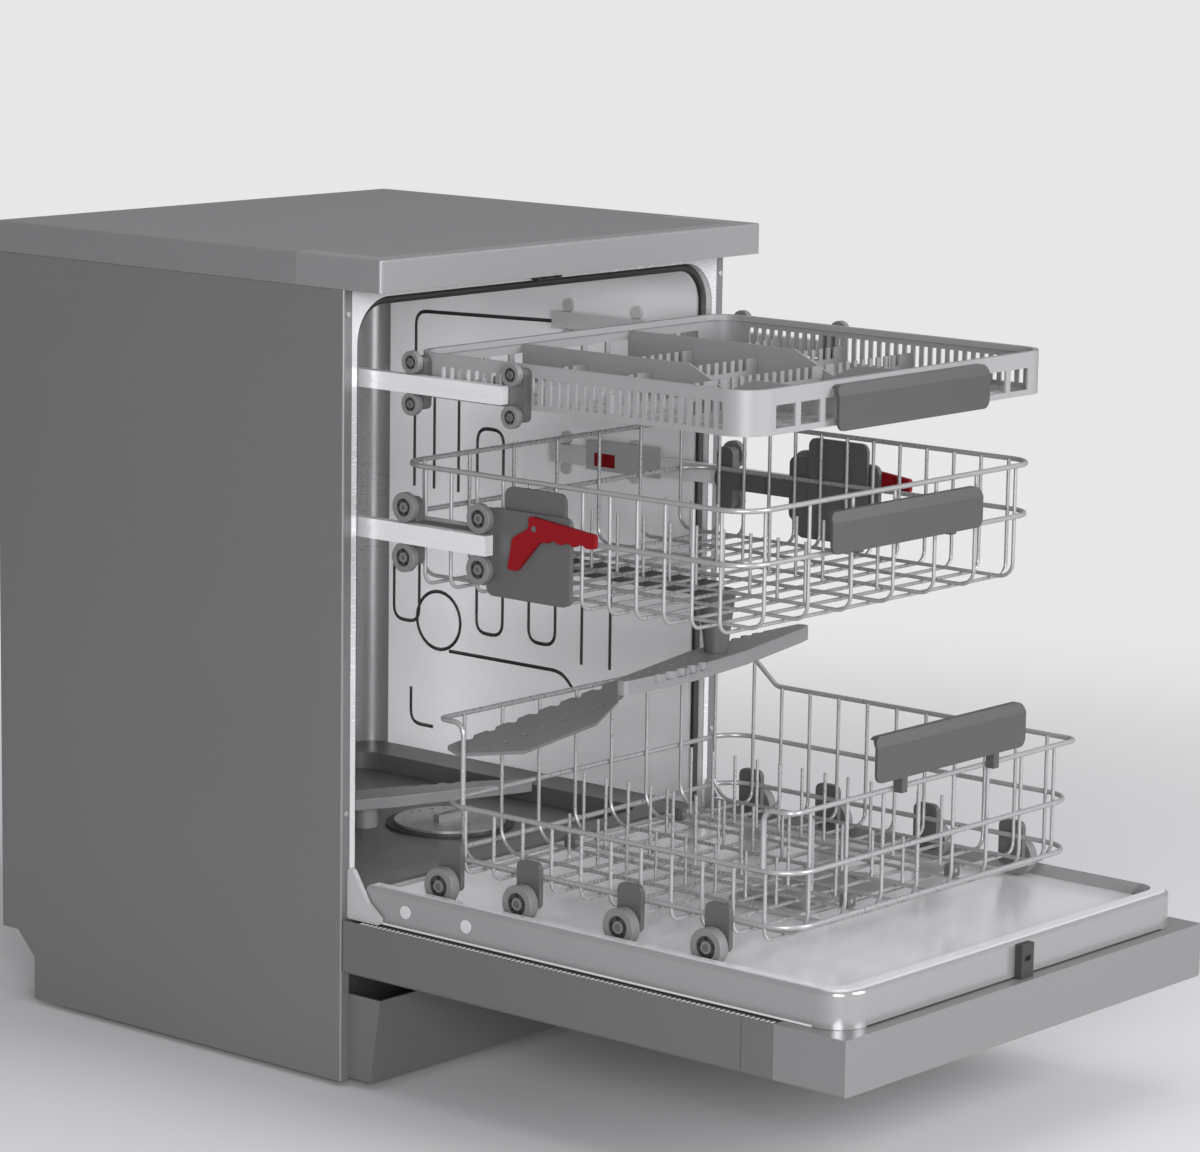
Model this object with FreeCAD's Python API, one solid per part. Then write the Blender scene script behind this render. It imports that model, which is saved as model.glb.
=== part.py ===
import FreeCAD, Part
import os
from math import cos, degrees, pi, sin, tan

os.makedirs("parts", exist_ok=True)

# Free-standing dishwasher with its door folded down and its three racks pulled out.
# Built in a cabinet frame: X to the right, front of the side panels at y = 0, back at +Y, floor at z = 0.

# cabinet
cabinet_width = 598
cabinet_height = 850
worktop_depth = 560
worktop_thickness = 33
worktop_overhang = 50
worktop_corner = 4
trim_depth = 24
trim_return = 117
trim_seam = 0.3
sheet = 1
sheet_bend = 2.4
panel_foot = 6
panel_flange = 12
notch_depth = 50
notch_height = 73
notch_chamfer = 26
rear_panel_foot = 80
pressing_margin = 40
pressing_gap = 20
pressing_corner = 24
pressing_depth = 0.6

# seats and welds
seat = 0.3
weld = 0.05

# base, feet and plinth
base_floor = 22
base_wall = 4
base_top = 168
base_ledge = 38
base_ledge_thickness = 8
base_rear_gap = 55
foot_radius = 18
foot_height = 10
foot_stem_radius = 5
foot_inset_x = 55
foot_front = 60
foot_rear_gap = 115
nut_radius = 9
nut_height = 6
nut_sides = 6
plinth_side_gap = 11
plinth_bottom = 9
plinth_top = 97
plinth_top_reach = 45
plinth_foot_reach = 32
plinth_wall = 3
plinth_lug_width = 30
plinth_lug_place = 200

# tub
tub_side_space = 29
tub_roof_space = 20
tub_wall = 1.2
tub_corner = 36
tub_rear_space = 14
tub_rear_corner = 30
channel_width = 9.3
channel_depth = 14
pan_front = 2.3
floor_bottom = 172
floor_pocket = 182
track_height = 202
track_width = 52
pocket_margin = 32
pocket_corner = 30
sump_x = 72
sump_offset = 58
sump_radius = 62
sump_wall = 3
sump_bottom = 104
sump_lip = 9
lip_thickness = 2.4
filter_radius = 44
filter_bottom = 116
filter_plate_radius = 57
filter_plate_thickness = 3
filter_grip_height = 16
filter_grip_width = 8
filter_hole_radius = 2.6
filter_ring_shares = (0.56, 0.84)
filter_ring_counts = (14, 22)
salt_cap_side_gap = 130
salt_cap_rear_gap = 166
salt_cap_radius = 36
salt_cap_height = 9
salt_cap_grip = 7
frame_sheet = 1.5
frame_sill = 199
gasket_radius = 4.2
gasket_foot = 204
striker_width = 38
striker_height = 9
striker_depth = 9
striker_hole_radius = 3
striker_hole_place = 10

# stiffening beads pressed into the side walls, as places behind the front and heights above the floor
bead_depth = 0.7
bead_ring_y = 391
bead_ring_z = 358
bead_ring_radius = 34
bead_tail_rear = 374
bead_tail_front = 200
bead_tail_end = 182
bead_tail_drop = 20
bead_upright_places = (431, 400, 362)
bead_upright_foot = 512
bead_upright_head = 620
bead_front_places = (172, 130)
bead_front_foot = 336
bead_front_head = 452
bead_cup_places = (442, 312, 232)
bead_cup_half_width = 20
bead_cup_foot = 352
bead_cup_head = 432
bead_arch_place = 313
bead_arch_foot = 508
bead_arch_head = 590
bead_frame_rear = 430
bead_frame_front = 168
bead_frame_foot = 660
bead_frame_head = 716
bead_frame_rise = 8
bead_corner_rear = 434
bead_corner_front = 398
bead_corner_foot = 231
bead_corner_head = 274
bead_bend = 16

# pumps, water fittings and feed
pump_radius = 40
pump_length = 130
pump_x = -150
pump_z = 82
volute_radius = 50
volute_length = 34
pump_pipe_radius = 13
drain_radius = 26
drain_length = 70
drain_x = 170
drain_rear_gap = 180
drain_spigot_radius = 9
inlet_x = -180
inlet_radius = 13
inlet_flange_radius = 18
inlet_flange = 5
fitting_reach = 30
fitting_z = 52
barb_radius = 11
barb_length = 6
feed_half_width = 20
feed_roof_height = 12
feed_back_thickness = 6
feed_foot = 150

# spray arms
arm_spindle_radius = 5
running_gap = 0.06
arm_hub_radius = 22
arm_root_width = 46
arm_tip_width = 26
arm_nozzle_radius = 2.2
arm_nozzle_count = 7
arm_crown = 1.3
arm_scallop_radius = 7
arm_scallop_bite = 3
arm_scallop_count = 6
arm_scallop_shares = (0.34, 0.86)
arm_shoulder_share = 0.5
arm_neck_share = 0.88
arm_lead_share = 0.8
arm_trail_share = 0.96
arm_heel_share = 0.12
arm_nose_share = 0.5
arm_corner = 6
arm_offset = 2
lower_arm_wall_gap = 48
lower_arm_bottom = 206
lower_arm_height = 12
lower_arm_turn = -24
lower_post_radius = 14
middle_arm_y = -240
middle_arm_span = 372
middle_arm_drop = 90
middle_arm_height = 15
middle_arm_turn = 9
top_arm_span = 240
top_arm_drop = 33
top_arm_height = 10
top_arm_turn = 15
top_post_radius = 12

# door, folded down
door_height_gap = 207
door_gap = 3
door_bottom = 121
door_thickness = 55
door_wall = 1.2
door_edge = 3
fascia_length = 85
fascia_wall = 2.5
trim_groove_gap = 38
trim_groove_width = 1.2
trim_groove_depth = 0.8
grip_half_width = 85
grip_near_edge = 14
grip_width = 46
grip_depth = 22
grip_wall = 2.5
button_length = 24
button_width = 12
button_height = 7
button_stand = 1
button_side_gap = 69
button_row = 40
button_clearance = 0.4
button_corner = 4
display_side_gap = 149
display_length = 84
display_width = 18
display_depth = 0.8
liner_side_gap = 16
liner_front_gap = 15
liner_rear = 20
liner_height = 38
liner_corner = 34
liner_rim = 18
liner_floor_drop = 12.3
liner_skin = 1.6
liner_slope = 12
liner_side_slope = 4
liner_crown = 6
recess_corner = 22
latch_width = 20
latch_depth = 8
latch_height = 34
latch_slot_width = 10
latch_slot_height = 5
hinge_thickness = 5.5
hinge_clear = 1.5
hinge_reach = 45
hinge_height = 52
hinge_toe = 7
hinge_front_gap = 0.3
hinge_corner = 2.4
hinge_knee_reach = 28
hinge_knee_height = 20

# detergent dispenser on the inner door
dispenser_x = 30
dispenser_front_gap = 283
dispenser_length = 170
dispenser_width = 112
dispenser_stand = 9
dispenser_depth = 26
cup_length = 62
cup_width = 72
cup_margin = 14
cup_corner = 8
lid_thickness = 3
lid_overlap = 6
lid_grip = 5
lid_grip_length = 48
rinse_radius = 11
rinse_edge = 14
rinse_height = 3
rinse_slot = 2.4
cup_share = 0.62

# rails on the tub walls
rail_wall_gap = 1
rail_width = 11.5
rail_groove = 0.9
rail_groove_share = 0.38
rail_back_reach = 212
guide_radius = 7
guide_outer_gap = 0.3
guide_length = 4.2
guide_places = (96, 196)
roller_wall_gap = 5.2
roller_pin_radius = 3
carrier_gap = 0.7
tray_rail_rise = 14.5
tray_rail_height = 18
tray_rail_reach = 182
tray_roller_radius = 11.5
tray_roller_places = (-58, -190)
basket_rail_rise = 56
basket_rail_height = 20
basket_rail_reach = 164
basket_roller_radius = 15
basket_roller_places = (-50, -150)
hub_groove = 0.9
hub_share = 0.62
hub_edge = 0.7
spoke_count = 5
spoke_depth = 3
spoke_place_share = 0.465
spoke_radius_share = 0.125

# cutlery tray
tray_side_gap = 25
tray_front = 472
tray_rear = 40
tray_drop = 85
tray_height = 44
tray_skin = 2.4
tray_rim_height = 6
tray_rim_width = 6
tray_slot_width = 6
tray_slot_pitch = 11
tray_slot_foot = 6
tray_slot_head = 6
tray_corner = 32
tray_window_width = 30
tray_window_pitch = 38
tray_window_head = 10
tray_floor_slot_length = 44
tray_floor_slot_pitch = 54
tray_floor_edge = 18
tray_divider_x = (-78, 92)
tray_divider_height = 35
tray_divider_low = 12
tray_divider_mid = 26
tray_divider_dip_rear = 262
tray_divider_dip_low = 312
tray_divider_dip_front = 344
tray_divider_bend = 5
tray_comb_places = (-130, -215, -300, -385)
tray_comb_height = 22
tray_comb_tooth = 7
tray_comb_pitch = 13
tray_comb_depth = 12

# handles
handle_half_width = 123
handle_thickness = 3
handle_lip = 11
handle_bevel_height = 10
handle_bevel_depth = 4
handle_corner = 9
handle_tab_width = 9
handle_tab_rise = 8
handle_bolt_place = 76
handle_bolt_radius = 3
tray_handle_drop = 4
tray_handle_height = 44
tray_handle_stand = 12
basket_handle_rise = 68
basket_handle_height = 41
rack_handle_share = 0.715
rack_handle_height = 45
wire_handle_stand = 14

# wires
rim_wire = 2.6
thin_wire = 1.9
tine_wire = 1.7
wire_bend = 12
rim_bend = 34
basket_long_bend = 16
rack_long_bend = 26

# upper basket
basket_side_gap = 32
basket_front = 466
basket_rear = 18
basket_drop = 277
basket_height = 120
basket_ring_rise = 68
basket_cross_count = 12
basket_long_count = 7
basket_tine_x = (-58, 60)
basket_tine_height = 62
track_plate_thickness = 4.2
track_plate_front = 246
track_plate_rear = 168
track_plate_rise = 12
track_plate_height = 102
carrier_plate_rear = 150
carrier_plate_front = 258
carrier_plate_rise = 4
carrier_plate_height = 88
carrier_corner = 9
carrier_arm_rear = 36
carrier_arm_half_height = 11
carrier_upright_half_width = 11
carrier_upright_reach = 35
lever_pivot_y = -216
lever_pivot_rise = 78
lever_width = 5.2
lever_gap = 0.4
lever_reach = 78
lever_head = 12
lever_belly = 12
lever_tail = 7
lever_tip_drop = 9
lever_tip_height = 14
lever_leg = 44
lever_leg_lean = 28
lever_leg_half_width = 6
lever_corner = 3
lever_finger_radius = 10
lever_finger_bite = 2.6
lever_finger_count = 3
lever_pin_radius = 3
lever_pin_share = 1.5
feed_tube_radius = 9
feed_tube_drop = 13
feed_hub_radius = 12
feed_hub_top_radius = 20

# lower rack
rack_side_gap = 34
rack_front = 526
rack_rear = 74
rack_rise = 28
rack_low_share = 0.35
rack_top_share = 0.65
rack_rear_share = 0.78
rack_rise_front = 136
rack_rise_rear = 104
rack_ring_share = 0.085
rack_cross_count = 11
rack_long_count = 8
row_wires = (2, 5)
rack_tine_x = (-116, 40)
rack_tine_share = 0.24
wheel_radius = 19
wheel_width = 12
wheel_wall_gap = 14
wheel_places = (-99, -204, -335, -445)
wheel_pin_radius = 4
fork_width = 30
fork_thickness = 6
row_rear = 120
row_front = 486
row_tine_count = 12
row_tine_share = 0.36
clip_width = 10
clip_side = 13
bar_wire = 2.2
rest_side_gap = 4
rest_length = 268
rest_depth = 50
rest_thickness = 4
rest_level_share = 0.625
rest_rise_turn = 6.4
rest_lean_turn = 18
rest_shoulder_shares = (0.24, 0.66)
rest_tip_share = 0.36
rest_hole_share = 0.55
rest_corner = 4
rest_scallop_radius = 9
rest_scallop_bite = 4
rest_scallop_count = 7
rest_hole_radius = 3.4
rest_hole_count = 8

# derived levels and limits
half_width = cabinet_width / 2
under_top = cabinet_height - worktop_thickness
back = worktop_depth - worktop_overhang
panel_inner = half_width - sheet
foot_rear = back - foot_rear_gap
plinth_half_width = half_width - plinth_side_gap
tub_half_width = half_width - tub_side_space
tub_roof = under_top - tub_roof_space
tub_depth = back - tub_rear_space
sump_y = tub_depth / 2 - sump_offset
salt_cap_x = salt_cap_side_gap - tub_half_width
salt_cap_y = tub_depth - salt_cap_rear_gap
drain_y = back - drain_rear_gap
lower_arm_y = tub_depth / 2 + arm_offset
lower_arm_span = tub_depth - 2 * lower_arm_wall_gap
top_arm_y = lower_arm_y
top_arm_bottom = tub_roof - top_arm_drop
door_reach = cabinet_height - door_height_gap
fascia_start = door_reach - fascia_length
trim_groove = fascia_start - trim_groove_gap
button_places = (button_side_gap - half_width, half_width - button_side_gap)
display_x = half_width - display_side_gap
liner_half_width = half_width - liner_side_gap
liner_front = door_reach - liner_front_gap
dispenser_y = door_reach - dispenser_front_gap
door_top = door_bottom + door_thickness
liner_top = door_top + liner_height
liner_floor = liner_top - liner_floor_drop
rail_outer = tub_half_width - rail_wall_gap
rail_inner = rail_outer - rail_width
roller_outer = tub_half_width - roller_wall_gap
carrier_outer = rail_inner - carrier_gap
tray_half_width = tub_half_width - tray_side_gap
tray_bottom = tub_roof - tray_drop
tray_top = tray_bottom + tray_height
tray_rail_z = tray_bottom + tray_rail_rise
tray_handle_bottom = tray_bottom - tray_handle_drop
basket_half_width = tub_half_width - basket_side_gap
basket_bottom = tub_roof - basket_drop
basket_top = basket_bottom + basket_height
basket_mid_ring = basket_bottom + basket_ring_rise
basket_rail_z = basket_bottom + basket_rail_rise
basket_handle_bottom = basket_bottom + basket_handle_rise
track_plate_foot = basket_bottom + track_plate_rise
track_plate_head = track_plate_foot + track_plate_height
carrier_plate_foot = basket_bottom + carrier_plate_rise
carrier_plate_head = carrier_plate_foot + carrier_plate_height
lever_pivot_z = basket_bottom + lever_pivot_rise
middle_arm_bottom = basket_bottom - middle_arm_drop
rack_half_width = tub_half_width - rack_side_gap
rack_bottom = track_height + rack_rise
rack_room = middle_arm_bottom - rack_bottom
rack_low_rim = rack_bottom + rack_room * rack_low_share
rack_top_rim = rack_bottom + rack_room * rack_top_share
rack_rear_rim = rack_bottom + rack_room * rack_rear_share
rack_side_ring = rack_bottom + rack_room * rack_ring_share
rack_handle_bottom = rack_bottom + rack_room * rack_handle_share
rack_tine_height = rack_room * rack_tine_share
row_tine_height = rack_room * row_tine_share
rest_left = rack_half_width - rest_side_gap
rest_level = rack_bottom + rack_room * rest_level_share
wheel_centre_x = tub_half_width - wheel_wall_gap
channel_half = tub_half_width + channel_width
channel_roof = tub_roof + channel_width
row_shift = (door_reach - back) / 2
quarter_turn = degrees(pi / 2)


def vec(x, y, z):
    return FreeCAD.Vector(x, y, z)


axis_x = vec(1, 0, 0)
axis_y = vec(0, 1, 0)
axis_z = vec(0, 0, 1)


def block(x_low, x_high, y_low, y_high, z_low, z_high):
    return Part.makeBox(x_high - x_low, y_high - y_low, z_high - z_low, vec(x_low, y_low, z_low))


def drum(radius, start, along, length):
    return Part.makeCylinder(radius, length, start, along)


def edges_along(shape, along, test):
    found = []
    for edge in shape.Edges:
        first = edge.Vertexes[0].Point
        last = edge.Vertexes[-1].Point
        run = last - first
        if run.Length > weld and abs(abs(run.normalize().dot(along)) - 1) < weld and test(first):
            found.append(edge)
    return found


def rounded(shape, radius, along, test=lambda point: True):
    return shape.makeFillet(radius, edges_along(shape, along, test))


def soft_wire(points, corner):
    # closed outline of straight runs with its corners rounded
    arcs = []
    for index, here in enumerate(points):
        to_last = (points[index - 1] - here).normalize()
        to_next = (points[(index + 1) % len(points)] - here).normalize()
        half_angle = to_last.getAngle(to_next) / 2
        setback = corner / tan(half_angle)
        crown = here + (to_last + to_next).normalize() * (corner / sin(half_angle) - corner)
        arcs.append((here + to_last * setback, crown, here + to_next * setback))
    edges = []
    for index, (entry, crown, leave) in enumerate(arcs):
        last_leave = arcs[index - 1][-1]
        if entry.distanceToPoint(last_leave) > weld:
            edges.append(Part.makeLine(last_leave, entry))
        edges.append(Part.Arc(entry, crown, leave).toShape())
    return Part.Wire(edges)


def drawn(points, corner, run):
    # a flat outline, with its corners rounded or sharp, drawn out into a solid
    wire = soft_wire(points, corner) if corner else Part.makePolygon(points + points[:1])
    return Part.Face(wire).extrude(run)


def slab_x(points, x_low, x_high, corner=0):
    # outline in the Y and Z directions
    return drawn([vec(x_low, y, z) for y, z in points], corner, vec(x_high - x_low, 0, 0))


def slab_y(points, y_low, y_high, corner=0):
    # outline in the X and Z directions
    return drawn([vec(x, y_low, z) for x, z in points], corner, vec(0, y_high - y_low, 0))


def slab_z(points, z_low, z_high, corner=0):
    # outline in the X and Y directions
    return drawn([vec(x, y, z_low) for x, y in points], corner, vec(0, 0, z_high - z_low))


def pressed(shape, bars):
    # a sheet with round lines pressed into it, one length at a time
    for bar in bars:
        shape = shape.cut(bar)
    return shape


def oblong(a_low, a_high, b_low, b_high):
    return [(a_low, b_low), (a_high, b_low), (a_high, b_high), (a_low, b_high)]


def mirrored(shapes):
    return [shape.mirror(vec(0, 0, 0), axis_x) for shape in shapes]


def both_sides(shapes):
    return shapes + mirrored(shapes)


def straight(radius, start, end):
    run = end - start
    return Part.makeCylinder(radius, run.Length, start, run)


def bent_wire(points, bend, radius, closed=False):
    # a wire as straight lengths and round elbows that meet face to face
    solids = []
    count = len(points)
    corners = range(count) if closed else range(1, count - 1)
    starts = {}
    ends = {}
    for index in corners:
        here = points[index]
        to_last = (points[index - 1] - here).normalize()
        to_next = (points[(index + 1) % count] - here).normalize()
        half_angle = to_last.getAngle(to_next) / 2
        setback = bend / tan(half_angle)
        entry = here + to_last * setback
        leave = here + to_next * setback
        middle = (to_last + to_next).normalize()
        centre = here + middle * (bend / sin(half_angle))
        normal = (entry - centre).cross(leave - centre).normalize()
        face = Part.Face(Part.Wire(Part.makeCircle(radius, entry, to_last)))
        solids.append(face.revolve(centre, normal, degrees(pi - 2 * half_angle)))
        ends[index] = entry
        starts[index] = leave
    spans = range(count) if closed else range(count - 1)
    for index in spans:
        after = (index + 1) % count
        solids.append(straight(radius, starts.get(index, points[index]), ends.get(after, points[after])))
    return solids


def ring_points(half_x, front, rear, level):
    return [
        vec(-half_x, -front, level),
        vec(half_x, -front, level),
        vec(half_x, -rear, level),
        vec(-half_x, -rear, level),
    ]


def shares(count):
    return [index / (count - 1) for index in range(count)]


def between(low, high, share):
    return low + (high - low) * share


def save(name, shapes):
    made = Part.makeCompound(shapes) if len(shapes) > 1 else shapes[0].copy()
    made.translate(vec(0, row_shift, 0))
    made.exportStep("parts/" + name + ".step")


def arch(half_x, top, radius, y_low, y_high, z_low):
    # upright slab with its two upper corners rounded
    body = block(-half_x, half_x, y_low, y_high, z_low, top)
    return rounded(body, radius, axis_y, lambda point: point.z > top - weld)


def worktop():
    slab = block(-half_width, half_width, -worktop_overhang, back, under_top, cabinet_height)
    slab = rounded(slab, worktop_corner, axis_z)
    slab = slab.makeFillet(
        worktop_corner / 2,
        [edge for edge in slab.Edges if edge.BoundBox.ZMin > cabinet_height - weld],
    )

    def inner(gap):
        return block(
            -half_width + trim_depth + gap,
            half_width - trim_depth - gap,
            -worktop_overhang + trim_depth + gap,
            back,
            under_top - seat,
            cabinet_height + seat,
        )

    ahead = block(
        -half_width, half_width, -worktop_overhang, trim_return - worktop_overhang, under_top, cabinet_height
    )
    behind = block(
        -half_width,
        half_width,
        trim_return - worktop_overhang + trim_seam,
        back,
        under_top,
        cabinet_height,
    )
    save("worktop_trim", [slab.common(ahead).cut(inner(0))])
    save("worktop_board", [slab.common(inner(trim_seam).fuse(behind).removeSplitter())])


def side_panels():
    outline = [
        (0, panel_foot),
        (back - notch_depth, panel_foot),
        (back - notch_depth, panel_foot + notch_height - notch_chamfer),
        (back - notch_depth + notch_chamfer, panel_foot + notch_height),
        (back, panel_foot + notch_height),
        (back, under_top - seat),
        (0, under_top - seat),
    ]
    skin = slab_x(outline, -half_width, -panel_inner)
    flange = block(-half_width, -half_width + panel_flange, 0, sheet, panel_foot, under_top - seat)
    left = skin.fuse(flange).removeSplitter()
    left = rounded(left, sheet_bend, axis_z, lambda point: point.x < -half_width + weld and point.y < weld)
    save("side_panel_left", [left])
    save("side_panel_right", mirrored([left]))
    edge = panel_inner - seat
    rear = block(-edge, edge, back - sheet, back, rear_panel_foot, under_top - seat)
    low = rear_panel_foot + pressing_margin
    high = under_top - pressing_margin
    frame = oblong(pressing_gap, edge - pressing_margin, low, high)
    pressing = bent_wire([vec(x, back, z) for x, z in frame], pressing_corner, pressing_depth, True)
    save("rear_panel", [pressed(rear, both_sides(pressing))])


def base_and_feet():
    outer = panel_inner - seat
    rear = back - base_rear_gap
    front = sheet + seat
    body = block(-outer, outer, front, rear, base_floor, base_top)
    room = block(
        -outer + base_wall,
        outer - base_wall,
        front + base_wall,
        rear - base_wall,
        base_floor + base_wall,
        base_top - base_ledge_thickness,
    )
    mouth = block(
        -outer + base_ledge,
        outer - base_ledge,
        front + base_wall,
        rear - base_wall,
        base_floor + base_wall,
        base_top + seat,
    )
    save("base_tray", [body.cut(room).cut(mouth)])
    feet = []
    for x in (-half_width + foot_inset_x, half_width - foot_inset_x):
        for y in (foot_front, foot_rear):
            disc = drum(foot_radius, vec(x, y, 0), axis_z, foot_height)
            disc = disc.makeChamfer(foot_stem_radius / 2, [disc.Edges[0]])
            stem = drum(foot_stem_radius, vec(x, y, foot_height), axis_z, base_floor - foot_height - seat)
            angles = [2 * pi * index / nut_sides for index in range(nut_sides)]
            nut = [(x + nut_radius * cos(angle), y + nut_radius * sin(angle)) for angle in angles]
            hexagon = slab_z(nut, foot_height, foot_height + nut_height)
            feet.append(disc.fuse(stem).fuse(hexagon).removeSplitter())
    save("feet", feet)


def plinth():
    lean = (plinth_top_reach - plinth_foot_reach) / (plinth_top - plinth_bottom)
    front = [
        (-plinth_foot_reach, plinth_bottom),
        (-plinth_top_reach, plinth_top),
        (-plinth_top_reach + plinth_wall, plinth_top),
        (-plinth_foot_reach + plinth_wall, plinth_bottom),
    ]
    sides = [
        (-plinth_foot_reach, plinth_bottom),
        (-plinth_top_reach, plinth_top),
        (-seat, plinth_top),
        (-seat, plinth_bottom),
    ]
    plate = slab_x(front, -plinth_half_width, plinth_half_width)
    left = slab_x(sides, -plinth_half_width, -plinth_half_width + plinth_wall)
    body = plate.fuse(left).fuse(mirrored([left])[0])
    middle = (plinth_bottom + plinth_top) / 2
    lug_front = -plinth_foot_reach - lean * (middle - plinth_bottom) + plinth_wall / 2
    for x in (-plinth_lug_place, plinth_lug_place):
        lug = block(
            x - plinth_lug_width / 2,
            x + plinth_lug_width / 2,
            lug_front,
            sheet,
            middle - plinth_wall / 2,
            middle + plinth_wall / 2,
        )
        body = body.fuse(lug)
    save("plinth", [body.removeSplitter()])


def wall_beads():
    # the pressed lines of the right wall, drawn as round bars along its inner face
    def line(points):
        return bent_wire([vec(tub_half_width, y, z) for y, z in points], bead_bend, bead_depth)

    ring_centre = vec(tub_half_width, bead_ring_y, bead_ring_z)
    bars = [Part.makeTorus(bead_ring_radius, bead_depth, ring_centre, axis_x)]
    tail = bead_ring_z - bead_ring_radius
    bars += line([(bead_tail_rear, tail), (bead_tail_front, tail), (bead_tail_end, tail - bead_tail_drop)])
    for y in bead_upright_places:
        bars += line([(y, bead_upright_foot), (y, bead_upright_head)])
    for y in bead_front_places:
        bars += line([(y, bead_front_foot), (y, bead_front_head)])
    for y in bead_cup_places:
        rear = y + bead_cup_half_width
        front = y - bead_cup_half_width
        cup = [(rear, bead_cup_head), (rear, bead_cup_foot), (front, bead_cup_foot), (front, bead_cup_head)]
        bars += line(cup)
    rear = bead_arch_place + bead_cup_half_width
    front = bead_arch_place - bead_cup_half_width
    arch = [(rear, bead_arch_foot), (rear, bead_arch_head), (front, bead_arch_head), (front, bead_arch_foot)]
    bars += line(arch)
    bars += line(
        [
            (bead_frame_rear, bead_frame_foot),
            (bead_frame_rear, bead_frame_head),
            (bead_frame_front, bead_frame_head + bead_frame_rise),
        ]
    )
    bars += line(
        [
            (bead_corner_rear, bead_corner_head),
            (bead_corner_rear, bead_corner_foot),
            (bead_corner_front, bead_corner_foot),
        ]
    )
    return bars


def tub():
    outer = tub_half_width + tub_wall
    foot = base_top + seat
    shell = arch(outer, tub_roof + tub_wall, tub_corner + tub_wall, channel_depth, tub_depth, foot)
    collar = arch(
        channel_half + tub_wall,
        channel_roof + tub_wall,
        tub_corner + channel_width + tub_wall,
        frame_sheet + seat,
        channel_depth + tub_wall,
        foot,
    )
    channel = arch(channel_half, channel_roof, tub_corner + channel_width, 0, channel_depth, base_top)
    hollow = arch(tub_half_width, tub_roof, tub_corner, 0, tub_depth + seat, base_top)
    wrap = shell.fuse(collar).cut(channel).cut(hollow)
    save("tub_wrap", [pressed(wrap.removeSplitter(), both_sides(wall_beads()))])
    rear = tub_depth + seat
    plate = arch(outer, tub_roof + tub_wall, tub_corner + tub_wall, rear, rear + tub_wall, foot)
    side = tub_half_width - seat
    inside = arch(side, tub_roof - seat, tub_corner - seat, 0, rear, track_height + seat)
    centre = vec(tub_half_width - tub_rear_corner, tub_depth - tub_rear_corner, track_height)
    cove = block(centre.x, side, centre.y, rear, track_height + seat, tub_roof)
    cove = cove.common(inside).cut(drum(tub_rear_corner, centre, axis_z, tub_roof))
    save("tub_back", [plate] + both_sides([cove]))
    pan = block(-side, side, pan_front, tub_depth, floor_bottom, track_height)
    pocket = block(
        -side + track_width,
        side - track_width,
        pocket_margin,
        tub_depth - pocket_margin,
        floor_pocket,
        track_height + seat,
    )
    pocket = rounded(pocket, pocket_corner, axis_z)
    well = drum(sump_radius, vec(sump_x, sump_y, floor_bottom - seat), axis_z, track_height)
    save("tub_floor", [pan.cut(pocket).cut(well)])


def grip_bar(x, y, level, half_length, height):
    ends = oblong(x - half_length, x + half_length, level, level + height)
    return slab_y(ends, y - filter_grip_width / 2, y + filter_grip_width / 2)


def sump_and_filter():
    foot = vec(sump_x, sump_y, sump_bottom)
    bowl_radius = sump_radius - seat
    bowl = drum(bowl_radius, foot, axis_z, floor_pocket - sump_bottom + seat)
    lip = drum(
        sump_radius + sump_lip, vec(sump_x, sump_y, floor_pocket + seat), axis_z, lip_thickness
    )
    room = drum(
        bowl_radius - sump_wall,
        vec(sump_x, sump_y, sump_bottom + sump_wall),
        axis_z,
        floor_pocket - sump_bottom + lip_thickness,
    )
    save("sump", [bowl.fuse(lip).cut(room).removeSplitter()])
    top = floor_pocket + seat + lip_thickness + seat
    cup = drum(filter_radius, vec(sump_x, sump_y, filter_bottom), axis_z, top - filter_bottom)
    plate_radius = filter_plate_radius + sump_lip / 2
    plate = drum(plate_radius, vec(sump_x, sump_y, top), axis_z, filter_plate_thickness)
    strainer = cup.fuse(plate)
    holes = []
    for share, count in zip(filter_ring_shares, filter_ring_counts):
        for index in range(count):
            angle = 2 * pi * index / count
            x = sump_x + plate_radius * share * cos(angle)
            y = sump_y + plate_radius * share * sin(angle)
            holes.append(drum(filter_hole_radius, vec(x, y, top), axis_z, 2 * filter_plate_thickness))
    strainer = strainer.cut(Part.makeCompound(holes))
    grip = grip_bar(sump_x, sump_y, top + filter_plate_thickness, filter_radius / 2, filter_grip_height / 2)
    save("filter", [strainer.fuse(grip).removeSplitter()])
    low = floor_pocket + seat
    cap = drum(salt_cap_radius, vec(salt_cap_x, salt_cap_y, low), axis_z, salt_cap_height)
    rim = [edge for edge in cap.Edges if edge.BoundBox.ZMin > low + weld]
    cap = cap.makeFillet(salt_cap_height / 4, rim)
    bar = grip_bar(salt_cap_x, salt_cap_y, low + salt_cap_height, salt_cap_radius / 2, salt_cap_grip)
    save("salt_cap", [cap.fuse(bar).removeSplitter()])


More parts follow.
